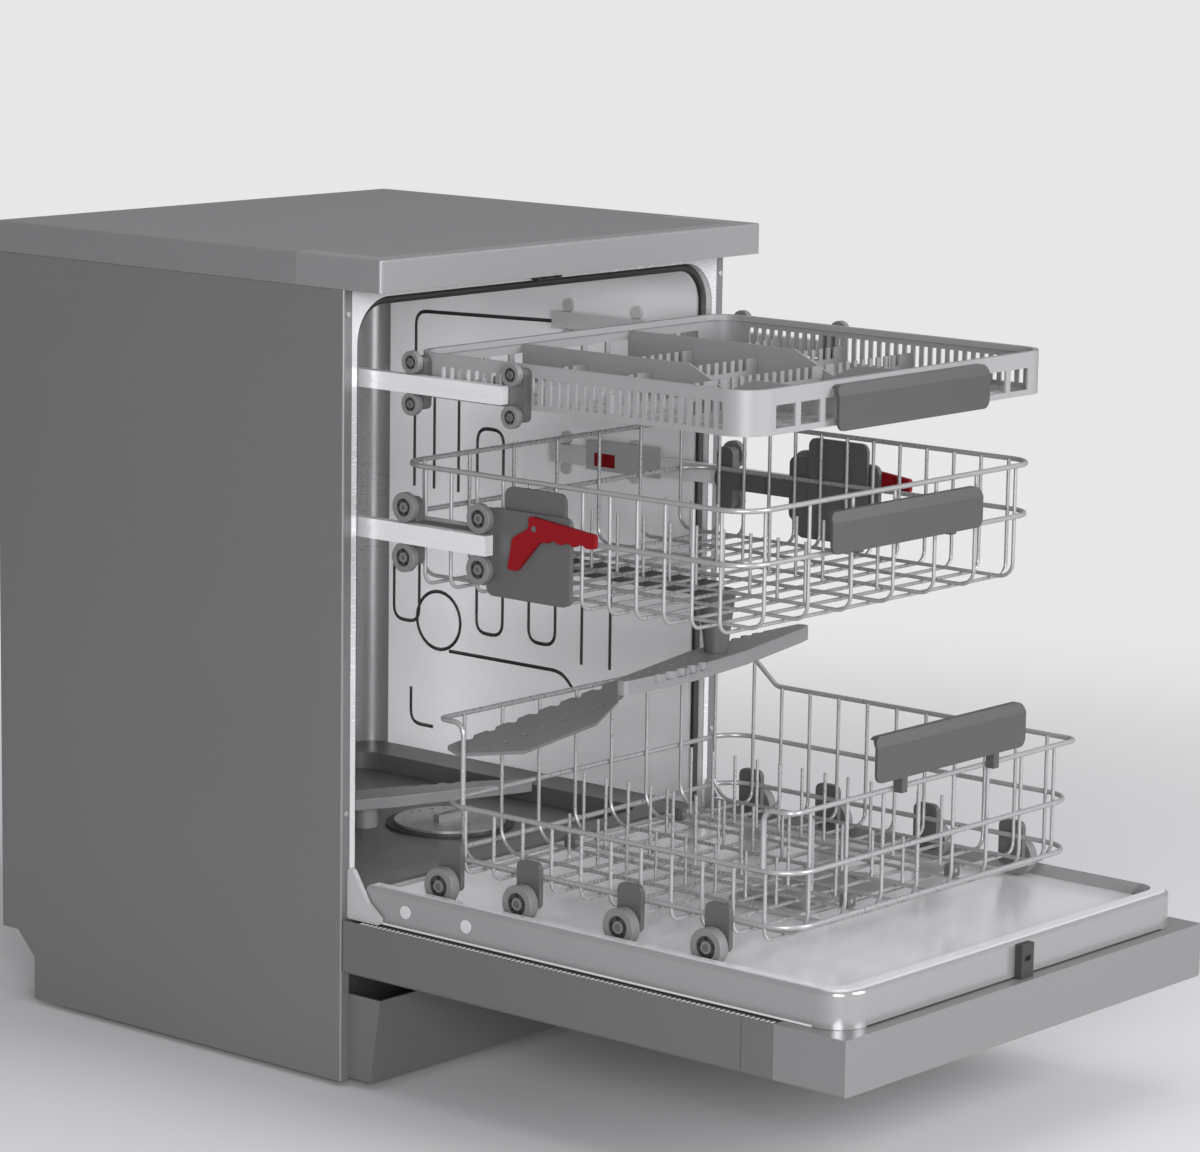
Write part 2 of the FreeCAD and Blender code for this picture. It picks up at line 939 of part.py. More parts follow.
def front_frame():
    side = half_width - panel_flange - seat
    ring = block(-side, side, 0, frame_sheet, base_top + seat, under_top - seat)
    hole = block(-channel_half, channel_half, -seat, frame_sheet + seat, frame_sill, channel_roof)
    hole = rounded(hole, tub_corner + channel_width, axis_y, lambda point: point.z > channel_roof - weld)
    save("front_frame", [ring.cut(hole)])
    reach = tub_half_width + seat + gasket_radius
    level = tub_roof + seat + gasket_radius
    depth = channel_depth - seat - gasket_radius
    path = [
        vec(-reach, depth, gasket_foot),
        vec(-reach, depth, level),
        vec(reach, depth, level),
        vec(reach, depth, gasket_foot),
    ]
    save("door_gasket", bent_wire(path, tub_corner + seat + gasket_radius, gasket_radius))
    foot = channel_roof + seat
    ends = oblong(-striker_width / 2, striker_width / 2, foot, foot + striker_height)
    body = slab_y(ends, -striker_depth - seat, -seat, striker_height / 4)
    for x in (-striker_hole_place, striker_hole_place):
        mouth = vec(x, -striker_depth - 2 * seat, foot + striker_height / 2)
        body = body.cut(drum(striker_hole_radius, mouth, axis_y, striker_depth / 2))
    save("door_striker", [body])


def pumps():
    motor = drum(pump_radius, vec(pump_x - pump_length / 2, sump_y, pump_z), axis_x, pump_length)
    end = pump_x + pump_length / 2
    volute = drum(volute_radius, vec(end, sump_y, pump_z), axis_x, volute_length)
    level = sump_bottom + pump_pipe_radius + sump_wall
    pipe_start = end + volute_length / 2
    inlet = drum(
        pump_pipe_radius, vec(pipe_start, sump_y, level), axis_x, sump_x - sump_radius - pipe_start
    )
    cradle = block(
        pump_x - pump_radius / 2,
        pump_x + pump_radius / 2,
        sump_y - pump_radius / 2,
        sump_y + pump_radius / 2,
        base_floor + base_wall + seat,
        pump_z,
    )
    wash = motor.fuse(volute).fuse(inlet).fuse(cradle).removeSplitter()
    drain = drum(drain_radius, vec(drain_x, drain_y, base_floor + base_wall + seat), axis_z, drain_length)
    wall = back - base_rear_gap
    spigot = drum(
        drain_spigot_radius, vec(drain_x, drain_y, fitting_z), axis_y, wall - base_wall - seat - drain_y
    )
    start = wall + seat
    outlet = drum(drain_spigot_radius, vec(drain_x, start, fitting_z), axis_y, fitting_reach)
    barb = Part.makeCone(
        barb_radius,
        drain_spigot_radius,
        barb_length,
        vec(drain_x, start + fitting_reach - barb_length, fitting_z),
        axis_y,
    )
    valve = drum(inlet_radius, vec(inlet_x, start, fitting_z), axis_y, fitting_reach)
    flange = drum(inlet_flange_radius, vec(inlet_x, start, fitting_z), axis_y, inlet_flange)
    save(
        "pumps",
        [
            wash,
            drain.fuse(spigot).removeSplitter(),
            outlet.fuse(barb).removeSplitter(),
            valve.fuse(flange).removeSplitter(),
        ],
    )


def feed_pipe():
    roof = tub_roof + tub_wall + seat
    rear = tub_depth + 2 * seat + tub_wall
    over = block(
        -feed_half_width,
        feed_half_width,
        top_arm_y - feed_half_width,
        rear + feed_back_thickness,
        roof,
        roof + feed_roof_height,
    )
    down = block(
        -feed_half_width, feed_half_width, rear, rear + feed_back_thickness, feed_foot, roof + feed_roof_height
    )
    hub = tub_roof - seat
    post_foot = top_arm_bottom + top_arm_height + seat
    top_post = drum(top_post_radius, vec(0, top_arm_y, post_foot), axis_z, hub - post_foot)
    top_pin = drum(arm_spindle_radius, vec(0, top_arm_y, top_arm_bottom), axis_z, top_arm_height + seat)
    low_top = lower_arm_bottom - seat
    low_foot = floor_pocket + seat
    low_post = drum(lower_post_radius, vec(0, lower_arm_y, low_foot), axis_z, low_top - low_foot)
    low_pin = drum(arm_spindle_radius, vec(0, lower_arm_y, low_top), axis_z, lower_arm_height + seat)
    save(
        "feed_pipe",
        [over.fuse(down).removeSplitter(), top_post.fuse(top_pin), low_post.fuse(low_pin)],
    )


def spray_arm(name, middle, span, bottom, height, turn):
    root = arm_root_width / 2
    tip = arm_tip_width / 2
    reach = span / 2
    wing = [
        vec(reach * arm_heel_share, -root, 0),
        vec(reach * arm_neck_share, -tip * arm_lead_share, 0),
        vec(reach, -tip * arm_nose_share, 0),
        vec(reach, tip * arm_nose_share, 0),
        vec(reach * arm_shoulder_share, root * arm_trail_share, 0),
    ]
    body = drawn(wing + [point * -1 for point in wing], arm_corner, vec(0, 0, height))
    body = body.makeFillet(arm_crown, [edge for edge in body.Edges if edge.BoundBox.ZMin > height - weld])
    cuts = []
    for share in shares(arm_scallop_count):
        place = between(arm_scallop_shares[0], arm_scallop_shares[1], share)
        edge = between(root, tip, place) + arm_scallop_radius - arm_scallop_bite
        cuts.append(drum(arm_scallop_radius, vec(reach * place, edge, height / 2), axis_z, height))
        cuts.append(drum(arm_scallop_radius, vec(-reach * place, -edge, height / 2), axis_z, height))
    for share in shares(arm_nozzle_count):
        x = between(2 * arm_hub_radius, reach - tip, share)
        cuts.append(drum(arm_nozzle_radius, vec(x, 0, height / 2), axis_z, height))
        cuts.append(drum(arm_nozzle_radius, vec(-x, 0, height / 2), axis_z, height))
    body = body.cut(Part.makeCompound(cuts))
    body = body.fuse(drum(arm_hub_radius, vec(0, 0, 0), axis_z, height)).removeSplitter()
    body = body.cut(drum(arm_spindle_radius + running_gap, vec(0, 0, -seat), axis_z, height + 2 * seat))
    body.rotate(vec(0, 0, 0), axis_z, turn)
    body.translate(vec(0, middle, bottom))
    save(name, [body])


def door():
    start = -fascia_start
    outer = block(-half_width, half_width, start, -door_gap, door_bottom, door_top)
    outer = rounded(outer, door_edge, axis_y, lambda point: point.z < door_bottom + weld)
    room = block(
        -half_width + door_wall,
        half_width - door_wall,
        start - seat,
        -door_gap - door_wall,
        door_bottom + door_wall,
        door_top + seat,
    )
    shell = outer.cut(room)
    groove_y = -trim_groove
    for x in (-half_width, half_width - trim_groove_depth):
        shell = shell.cut(
            block(
                x,
                x + trim_groove_depth,
                groove_y - trim_groove_width / 2,
                groove_y + trim_groove_width / 2,
                door_bottom,
                door_top,
            )
        )
    save("door_outer_panel", [shell])

    front = block(-half_width, half_width, -door_reach, start - seat, door_bottom, door_top)
    front = rounded(front, door_edge, axis_y, lambda point: point.z < door_bottom + weld)
    hollow = block(
        -half_width + fascia_wall,
        half_width - fascia_wall,
        -door_reach + fascia_wall,
        start - seat - fascia_wall,
        door_bottom + fascia_wall,
        door_top - fascia_wall,
    )
    grip_low_y = -door_reach + grip_near_edge
    grip = oblong(-grip_half_width, grip_half_width, grip_low_y, grip_low_y + grip_width)
    lining = oblong(
        -grip_half_width - grip_wall,
        grip_half_width + grip_wall,
        grip_low_y - grip_wall,
        grip_low_y + grip_width + grip_wall,
    )
    cup = slab_z(lining, door_bottom, door_bottom + grip_depth + grip_wall, grip_near_edge + grip_wall)
    mouth = slab_z(grip, door_bottom - seat, door_bottom + grip_depth, grip_near_edge)
    fascia = front.cut(hollow).fuse(cup).cut(mouth)
    row = -door_reach + button_row
    for x in button_places:
        length = button_length / 2 + button_clearance
        width = button_width / 2 + button_clearance
        slot = oblong(x - length, x + length, row - width, row + width)
        fascia = fascia.cut(
            slab_z(slot, door_bottom - seat, door_bottom + fascia_wall + seat, button_corner + button_clearance)
        )
    window = oblong(
        display_x - display_length / 2,
        display_x + display_length / 2,
        row - display_width / 2,
        row + display_width / 2,
    )
    fascia = fascia.cut(slab_z(window, door_bottom - seat, door_bottom + display_depth, button_corner))
    save("control_fascia", [fascia.removeSplitter()])
    for name, x in zip(("button_power", "button_start"), button_places):
        face = oblong(
            x - button_length / 2, x + button_length / 2, row - button_width / 2, row + button_width / 2
        )
        low = door_bottom - button_stand
        save(name, [slab_z(face, low, low + button_height, button_corner)])


def liner_loop(half_x, front, rear, level):
    points = oblong(-half_x, half_x, -front, -rear)
    return soft_wire([vec(x, y, level) for x, y in points], recess_corner)


def door_liner():
    low = door_top + seat
    body = block(-liner_half_width, liner_half_width, -liner_front, -liner_rear, low, liner_top)
    body = rounded(body, liner_corner, axis_z, lambda point: point.y < -liner_rear - weld)
    crown = [edge for edge in body.Edges if edge.BoundBox.ZMin > liner_top - weld]
    body = body.makeFillet(liner_crown, crown)
    # the recess runs out over the rear edge, so that the rack wheels roll in
    inner_x = liner_half_width - liner_rim
    inner_front = liner_front - liner_rim
    open_rear = liner_rear - recess_corner - seat
    floor_loop = liner_loop(inner_x, inner_front - liner_slope, open_rear, liner_floor)
    top_loop = liner_loop(inner_x + liner_side_slope, inner_front, open_rear, liner_top + seat)
    recess = Part.makeLoft([floor_loop, top_loop], True, True)
    cavity = block(
        -liner_half_width + liner_skin,
        liner_half_width - liner_skin,
        -liner_front + liner_corner,
        -liner_rear - liner_skin,
        door_top,
        liner_floor - liner_skin,
    )
    hole = block(
        dispenser_x - dispenser_length / 2 - seat,
        dispenser_x + dispenser_length / 2 + seat,
        -dispenser_y - dispenser_width / 2 - seat,
        -dispenser_y + dispenser_width / 2 + seat,
        door_top,
        liner_top,
    )
    save("door_liner", [body.cut(recess).cut(cavity).cut(hole)])


def dispenser():
    top = liner_floor + dispenser_stand
    left = dispenser_x - dispenser_length / 2
    right = left + dispenser_length
    case_outline = oblong(left, right, -dispenser_y - dispenser_width / 2, -dispenser_y + dispenser_width / 2)
    case = slab_z(case_outline, top - dispenser_stand - dispenser_depth / 2, top, cup_corner)
    cup_left = left + cup_margin
    cup_right = cup_left + cup_length
    cup_outline = oblong(cup_left, cup_right, -dispenser_y - cup_width / 2, -dispenser_y + cup_width / 2)
    case = case.cut(slab_z(cup_outline, top - dispenser_depth * cup_share, top + seat, cup_corner))
    centre = vec(right - rinse_edge, -dispenser_y, top)
    rinse = drum(rinse_radius, centre, axis_z, rinse_height)
    rinse = rinse.cut(
        block(
            centre.x - rinse_slot / 2,
            centre.x + rinse_slot / 2,
            centre.y - rinse_radius,
            centre.y + rinse_radius,
            top + rinse_height / 2,
            top + rinse_height + seat,
        )
    )
    save("dispenser_body", [case.fuse(rinse).removeSplitter()])
    lid_outline = oblong(
        cup_left - lid_overlap,
        cup_right + lid_overlap,
        -dispenser_y - cup_width / 2 - lid_overlap,
        -dispenser_y + cup_width / 2 + lid_overlap,
    )
    lid_low = top + seat
    lid = slab_z(lid_outline, lid_low, lid_low + lid_thickness, cup_corner)
    thumb = block(
        cup_left,
        cup_left + lid_grip,
        -dispenser_y - lid_grip_length / 2,
        -dispenser_y + lid_grip_length / 2,
        lid_low + lid_thickness,
        lid_low + 2 * lid_thickness,
    )
    save("dispenser_lid", [lid.fuse(thumb).removeSplitter()])


def latch_and_hinges():
    low = door_top + seat
    latch = block(
        -latch_width / 2,
        latch_width / 2,
        -liner_front - latch_depth - seat,
        -liner_front - seat,
        low,
        low + latch_height,
    )
    middle = low + latch_height / 2
    catch = block(
        -latch_slot_width / 2,
        latch_slot_width / 2,
        -liner_front - latch_depth - 2 * seat,
        -liner_front - latch_depth / 2,
        middle,
        middle + latch_slot_height,
    )
    save("door_latch", [latch.cut(catch)])
    side = liner_half_width + hinge_clear
    cover = [
        (-hinge_front_gap, low),
        (-hinge_front_gap, low + hinge_height),
        (-hinge_toe, low + hinge_height),
        (-hinge_knee_reach, low + hinge_knee_height),
        (-hinge_reach, low + hinge_toe),
        (-hinge_reach, low),
    ]
    save("hinge_covers", both_sides([slab_x(cover, side, side + hinge_thickness, hinge_corner)]))


def rail_pair(name, level, height, reach):
    body = block(rail_inner, rail_outer, -reach, rail_back_reach, level - height / 2, level + height / 2)
    half_groove = height * rail_groove_share / 2
    groove = block(
        rail_outer - rail_groove, rail_outer, -reach, rail_back_reach, level - half_groove, level + half_groove
    )
    save(name, both_sides([body.cut(groove)]))


def rail_guides():
    studs = []
    low = tub_half_width - guide_outer_gap - guide_length
    for level, height in ((tray_rail_z, tray_rail_height), (basket_rail_z, basket_rail_height)):
        offset = height / 2 + guide_radius + seat
        for y in guide_places:
            for z in (level - offset, level + offset):
                studs.append(drum(guide_radius, vec(low, y, z), axis_x, guide_length))
    save("rail_guides", both_sides(studs))


def roller(radius, y, z, inner, outer, pin):
    # wheel with a dished outer face, a ring of round pockets and a bore for its pin
    width = outer - inner
    tread = drum(radius, vec(inner, y, z), axis_x, width)
    tread = tread.makeFillet(hub_edge, [edge for edge in tread.Edges if edge.isClosed()])
    dish_face = outer - hub_groove
    dish = drum(radius * hub_share, vec(dish_face, y, z), axis_x, hub_groove + seat)
    boss = drum(radius * hub_share / 2, vec(dish_face, y, z), axis_x, hub_groove)
    pockets = []
    for index in range(spoke_count):
        angle = 2 * pi * index / spoke_count
        place_y = y + radius * spoke_place_share * sin(angle)
        place_z = z + radius * spoke_place_share * cos(angle)
        start = vec(dish_face - spoke_depth, place_y, place_z)
        pockets.append(drum(radius * spoke_radius_share, start, axis_x, spoke_depth + seat))
    bore = drum(pin + running_gap, vec(inner - seat, y, z), axis_x, width + 2 * seat)
    return tread.cut(dish).cut(Part.makeCompound(pockets)).fuse(boss).cut(bore).removeSplitter()


def roller_offset(height, radius):
    return height / 2 + radius + seat


def roller_sets(prefix, places, level, height, radius):
    offset = roller_offset(height, radius)
    pins = []
    for place, y in zip(("rear", "front"), places):
        for hand, z in (("top", level + offset), ("low", level - offset)):
            save(
                prefix + "_roller_" + place + "_" + hand,
                both_sides([roller(radius, y, z, rail_inner, roller_outer, roller_pin_radius)]),
            )
            pins.append((y, z))
    return pins


def pin_at(y, z):
    return drum(
        roller_pin_radius, vec(carrier_outer - carrier_gap, y, z), axis_x, roller_outer - carrier_outer
    )


def handle(front, bottom, height):
    # outward plate with a sloped upper strip, a lip turned back along the top and rounded corners
    top = bottom + height
    back_of_strip = -front + handle_bevel_depth + handle_thickness
    outline = [
        (-front, bottom),
        (-front, top - handle_bevel_height),
        (-front + handle_bevel_depth, top),
        (-front + handle_lip, top),
        (-front + handle_lip, top - handle_thickness),
        (back_of_strip, top - handle_thickness),
        (-front + handle_thickness, top - handle_bevel_height),
        (-front + handle_thickness, bottom),
    ]
    plate = slab_x(outline, -handle_half_width, handle_half_width)
    face = oblong(-handle_half_width, handle_half_width, bottom, top)
    return plate.common(slab_y(face, -front - seat, -front + handle_lip + seat, handle_corner))


def slot_row(count, first, pitch, make):
    return Part.makeCompound([make(first + pitch * index) for index in range(count)])


def tray_ring(thickness, low, high):
    # straight walls and quarter-round corners of one level of the tray
    length_front = -tray_front + tray_corner
    length_rear = -tray_rear - tray_corner
    span = tray_half_width - tray_corner
    sides = [block(tray_half_width - thickness, tray_half_width, length_front, length_rear, low, high)]
    ends = [block(-span, span, y, y + thickness, low, high) for y in (-tray_front, -tray_rear - thickness)]
    corners = []
    centres = [(span, length_rear), (-span, length_rear), (-span, length_front), (span, length_front)]
    for index, (x, y) in enumerate(centres):
        centre = vec(x, y, low)
        quarter = Part.makeCylinder(tray_corner, high - low, centre, axis_z, quarter_turn)
        quarter = quarter.cut(drum(tray_corner - thickness, centre, axis_z, high - low))
        quarter.rotate(centre, axis_z, quarter_turn * index)
        corners.append(quarter)
    return sides, ends, corners


def tray_floor():
    inner_x = tray_half_width - tray_skin
    outline = oblong(-inner_x, inner_x, -tray_front + tray_skin, -tray_rear - tray_skin)
    floor = slab_z(outline, tray_bottom, tray_bottom + tray_skin, tray_corner - tray_skin)
    across = int((2 * inner_x - 2 * tray_floor_edge) // tray_floor_slot_pitch)
    along = int((tray_front - tray_rear - 2 * tray_floor_edge) // (2 * tray_slot_pitch))
    first_x = -across * tray_floor_slot_pitch / 2
    slots = []
    for column in range(across):
        x = first_x + column * tray_floor_slot_pitch
        for line in range(along):
            y = -tray_rear - tray_floor_edge - (line + 1) * 2 * tray_slot_pitch
            slots.append(
                block(
                    x + (tray_floor_slot_pitch - tray_floor_slot_length) / 2,
                    x + (tray_floor_slot_pitch + tray_floor_slot_length) / 2,
                    y,
                    y + tray_slot_pitch,
                    tray_bottom - seat,
                    tray_bottom + 2 * tray_skin,
                )
            )
    return floor.cut(Part.makeCompound(slots))


def tray_walls():
    low = tray_bottom
    high = tray_top - tray_rim_height
    inner_x = tray_half_width - tray_skin
    sides, ends, corners = tray_ring(tray_skin, low, high)
    count = int((tray_front - tray_rear - 2 * tray_corner) // tray_slot_pitch)
    cuts = slot_row(
        count,
        -tray_front + tray_corner,
        tray_slot_pitch,
        lambda y: block(
            inner_x - seat,
            tray_half_width + seat,
            y,
            y + tray_slot_width,
            low + tray_slot_foot,
            high - tray_slot_head,
        ),
    )
    solids = both_sides([sides[0].cut(cuts)]) + corners
    wide = int(2 * (tray_half_width - tray_corner) // tray_window_pitch)
    first = (tray_window_pitch - tray_window_width - wide * tray_window_pitch) / 2
    for end in ends:
        y = end.BoundBox.YMin
        cuts = slot_row(
            wide,
            first,
            tray_window_pitch,
            lambda x: block(
                x,
                x + tray_window_width,
                y - seat,
                y + tray_skin + seat,
                low + tray_slot_foot,
                high - tray_window_head,
            ),
        )
        solids.append(end.cut(cuts))
    sides, ends, corners = tray_ring(tray_rim_width, high, tray_top)
    return solids + both_sides(sides) + ends + corners


def tray_dividers():
    front = -tray_front + tray_skin
    rear = -tray_rear - tray_skin
    low = tray_bottom + tray_skin
    outline = [
        (rear, low),
        (rear, low + tray_divider_height),
        (-tray_divider_dip_rear, low + tray_divider_height),
        (-tray_divider_dip_low, low + tray_divider_low),
        (-tray_divider_dip_front, low + tray_divider_mid),
        (front, low + tray_divider_mid),
        (front, low),
    ]
    walls = []
    for x in tray_divider_x:
        walls.append(slab_x(outline, x - tray_skin / 2, x + tray_skin / 2, tray_divider_bend))
    return walls


def tray_combs():
    inner_x = tray_half_width - tray_skin
    low = tray_bottom + tray_skin
    combs = []
    bays = [-inner_x] + list(tray_divider_x) + [inner_x]
    for left, right in zip(bays[:-1], bays[1:]):
        for y in tray_comb_places:
            comb = block(left + tray_skin, right - tray_skin, y, y + tray_skin, low, low + tray_comb_height)
            teeth = int((right - left - 2 * tray_comb_pitch) // tray_comb_pitch)
            first = (left + right - teeth * tray_comb_pitch) / 2
            cuts = slot_row(
                teeth,
                first,
                tray_comb_pitch,
                lambda x: block(
                    x,
                    x + tray_comb_tooth,
                    y - seat,
                    y + tray_skin + seat,
                    low + tray_comb_height - tray_comb_depth,
                    low + tray_comb_height + seat,
                ),
            )
            combs.append(comb.cut(cuts))
    return combs


def cutlery_tray():
    save("tray_body", [tray_floor()] + tray_walls() + tray_dividers() + tray_combs())
    front = tray_front + tray_handle_stand
    plate = handle(front, tray_handle_bottom, tray_handle_height)
    boss_z = tray_top - tray_rim_height - tray_window_head / 2
    for x in (-handle_bolt_place, handle_bolt_place):
        boss = drum(
            handle_bolt_radius,
            vec(x, -front + handle_bevel_depth, boss_z),
            axis_y,
            tray_handle_stand - handle_bevel_depth - seat,
        )
        plate = plate.fuse(boss)
    save("tray_handle", [plate.removeSplitter()])
    pins = roller_sets("tray", tray_roller_places, tray_rail_z, tray_rail_height, tray_roller_radius)
    half_height = roller_offset(tray_rail_height, tray_roller_radius) + tray_roller_radius / 2
    carriers = []
    for y in tray_roller_places:
        outline = oblong(
            y - tray_roller_radius, y + tray_roller_radius, tray_rail_z - half_height, tray_rail_z + half_height
        )
        arm = slab_x(outline, tray_half_width + seat, carrier_outer, tray_roller_radius / 2)
        for pin_y, pin_z in pins:
            if pin_y == y:
                arm = arm.fuse(pin_at(pin_y, pin_z))
        carriers.append(arm.removeSplitter())
    save("tray_carriers", both_sides(carriers))
    rail_pair("tray_rails", tray_rail_z, tray_rail_height, tray_rail_reach)


def wire_box(half_x, front, rear, bottom, tops, right_top, cross_count, long_count, long_bend):
    # U-shaped wires across and along, the long ones laid over the cross ones
    left_top, front_top, rear_top = tops
    solids = []
    leg = half_x - rim_wire - thin_wire - weld
    first_end = front - rim_wire - thin_wire - weld
    last_end = rear + rim_wire + thin_wire + weld
    for share in shares(cross_count):
        y = -between(rear + rim_bend, front - rim_bend, share)
        path = [
            vec(-leg, y, left_top),
            vec(-leg, y, bottom),
            vec(leg, y, bottom),
            vec(leg, y, right_top(y)),
        ]
        solids += bent_wire(path, wire_bend, thin_wire)
    over = bottom + 2 * thin_wire + weld
    for share in shares(long_count):
        x = between(-half_x + rim_bend, half_x - rim_bend, share)
        path = [
            vec(x, -first_end, front_top),
            vec(x, -first_end, over),
            vec(x, -last_end, over),
            vec(x, -last_end, rear_top),
        ]
        solids += bent_wire(path, long_bend, thin_wire)
    return solids


def tines(places, front, rear, count, foot, height):
    # upright pins on the cross wires between the first and the last
    pins = []
    for x in places:
        for share in shares(count)[1:-1]:
            y = -between(rear + rim_bend, front - rim_bend, share)
            pins.append(straight(tine_wire, vec(x, y, foot), vec(x, y, foot + height)))
    return pins


def wire_handle(name, front, bottom, height, tab_low):
    # handle plate on two tabs that stand against the front wire
    reach = front + wire_handle_stand
    plate = handle(reach, bottom, height)
    for x in (-handle_bolt_place, handle_bolt_place):
        tab = block(
            x - handle_tab_width / 2,
            x + handle_tab_width / 2,
            -reach + handle_thickness / 2,
            -front - rim_wire - seat,
            tab_low,
            bottom + handle_tab_rise,
        )
        plate = plate.fuse(tab)
    save(name, [plate.removeSplitter()])


def basket_frame():
    wires = []
    for level in (basket_top, basket_mid_ring):
        ring = ring_points(basket_half_width, basket_front, basket_rear, level)
        wires += bent_wire(ring, rim_bend, rim_wire, True)
    wires += wire_box(
        basket_half_width,
        basket_front,
        basket_rear,
        basket_bottom,
        (basket_top, basket_top, basket_top),
        lambda y: basket_top,
        basket_cross_count,
        basket_long_count,
        basket_long_bend,
    )
    foot = basket_bottom + thin_wire + weld
    wires += tines(basket_tine_x, basket_front, basket_rear, basket_cross_count, foot, basket_tine_height)
    save("basket_wires", wires)
    wire_handle(
        "basket_handle",
        basket_front,
        basket_handle_bottom,
        basket_handle_height,
        basket_mid_ring - rim_wire,
    )


def basket_feed():
    # tube under the basket with the cone that carries the middle spray arm
    feed_z = basket_bottom - thin_wire - weld - feed_tube_radius
    tube = straight(
        feed_tube_radius, vec(0, middle_arm_y, feed_z), vec(0, -basket_rear - feed_tube_drop, feed_z)
    )
    hub_foot = vec(0, middle_arm_y, middle_arm_bottom + middle_arm_height + seat)
    hub = Part.makeCone(feed_hub_radius, feed_hub_top_radius, feed_z - hub_foot.z, hub_foot, axis_z)
    spindle = drum(
        arm_spindle_radius, vec(0, middle_arm_y, middle_arm_bottom), axis_z, middle_arm_height + seat
    )
    return tube.fuse(hub).fuse(spindle).removeSplitter()


def squeeze_lever(lever_low, lever_high):
    # finger grip in front of its pivot and a leg that runs down behind it
    leg_y = lever_pivot_y + lever_leg_lean
    tip = lever_pivot_y - lever_reach
    tip_top = lever_pivot_z + lever_head - lever_tip_drop
    belly = lever_pivot_z - lever_belly
    outline = [
        (lever_pivot_y + lever_tail, lever_pivot_z + lever_head),
        (tip, tip_top),
        (tip, tip_top - lever_tip_height),
        (lever_pivot_y - lever_tail, belly),
        (leg_y - lever_leg_half_width, lever_pivot_z - lever_leg),
        (leg_y + lever_leg_half_width, lever_pivot_z - lever_leg),
        (leg_y, belly),
        (lever_pivot_y + lever_tail, lever_pivot_z),
    ]
    lever = slab_x(outline, lever_low, lever_high, lever_corner)
    length = lever_high - lever_low + 2 * seat
    pivot = vec(lever_low - seat, lever_pivot_y, lever_pivot_z)
    cuts = [drum(lever_pin_radius + running_gap, pivot, axis_x, length)]
    for share in shares(lever_finger_count + 2)[1:-1]:
        y = between(tip, lever_pivot_y - lever_tail, share)
        z = between(tip_top - lever_tip_height, belly, share) - lever_finger_radius + lever_finger_bite
        cuts.append(drum(lever_finger_radius, vec(lever_low - seat, y, z), axis_x, length))
    return lever.cut(Part.makeCompound(cuts))


def upper_basket():
    basket_frame()
    # plates on the basket that slide up and down on the roller carriers
    plate_low = basket_half_width + rim_wire + weld
    plate_high = plate_low + track_plate_thickness
    track = oblong(-track_plate_front, -track_plate_rear, track_plate_foot, track_plate_head)
    tracks = both_sides([slab_x(track, plate_low, plate_high, carrier_corner)])
    save("basket_fittings", tracks + [basket_feed()])
    pins = roller_sets("basket", basket_roller_places, basket_rail_z, basket_rail_height, basket_roller_radius)
    low = plate_high + seat
    lever_high = carrier_outer - lever_gap
    lever_low = lever_high - lever_width
    plate = oblong(-carrier_plate_front, -carrier_plate_rear, carrier_plate_foot, carrier_plate_head)
    body = slab_x(plate, low, lever_low - lever_gap, carrier_corner)
    bar = oblong(
        min(basket_roller_places),
        -carrier_arm_rear,
        basket_rail_z - carrier_arm_half_height,
        basket_rail_z + carrier_arm_half_height,
    )
    body = body.fuse(slab_x(bar, low, carrier_outer, carrier_corner))
    for y in basket_roller_places:
        upright = oblong(
            y - carrier_upright_half_width,
            y + carrier_upright_half_width,
            basket_rail_z - carrier_upright_reach,
            basket_rail_z + carrier_upright_reach,
        )
        body = body.fuse(slab_x(upright, low, carrier_outer, carrier_corner))
    for y, z in pins:
        body = body.fuse(pin_at(y, z))
    pin_length = lever_width * lever_pin_share
    pivot = vec(lever_high - pin_length, lever_pivot_y, lever_pivot_z)
    body = body.fuse(drum(lever_pin_radius, pivot, axis_x, pin_length))
    save("basket_carriers", both_sides([body.removeSplitter()]))
    lever = squeeze_lever(lever_low, lever_high)
    save("lever_left", mirrored([lever]))
    save("lever_right", [lever])
    rail_pair("basket_rails", basket_rail_z, basket_rail_height, basket_rail_reach)


def tine_row(name, x, level):
    base = straight(bar_wire, vec(x, -row_front, level), vec(x, -row_rear, level))
    solids = [base]
    foot = level + bar_wire + weld
    for share in shares(row_tine_count):
        y = -between(row_rear + 2 * clip_width, row_front - 2 * clip_width, share)
        solids.append(straight(tine_wire, vec(x, y, foot), vec(x, y, foot + row_tine_height)))
    save(name, solids)


def rack_right_top(y):
    # height of the right rim, which climbs to the raised rear rim
    share = (y + rack_rise_front) / (rack_rise_front - rack_rise_rear)
    return between(rack_top_rim, rack_rear_rim, max(0, min(1, share)))


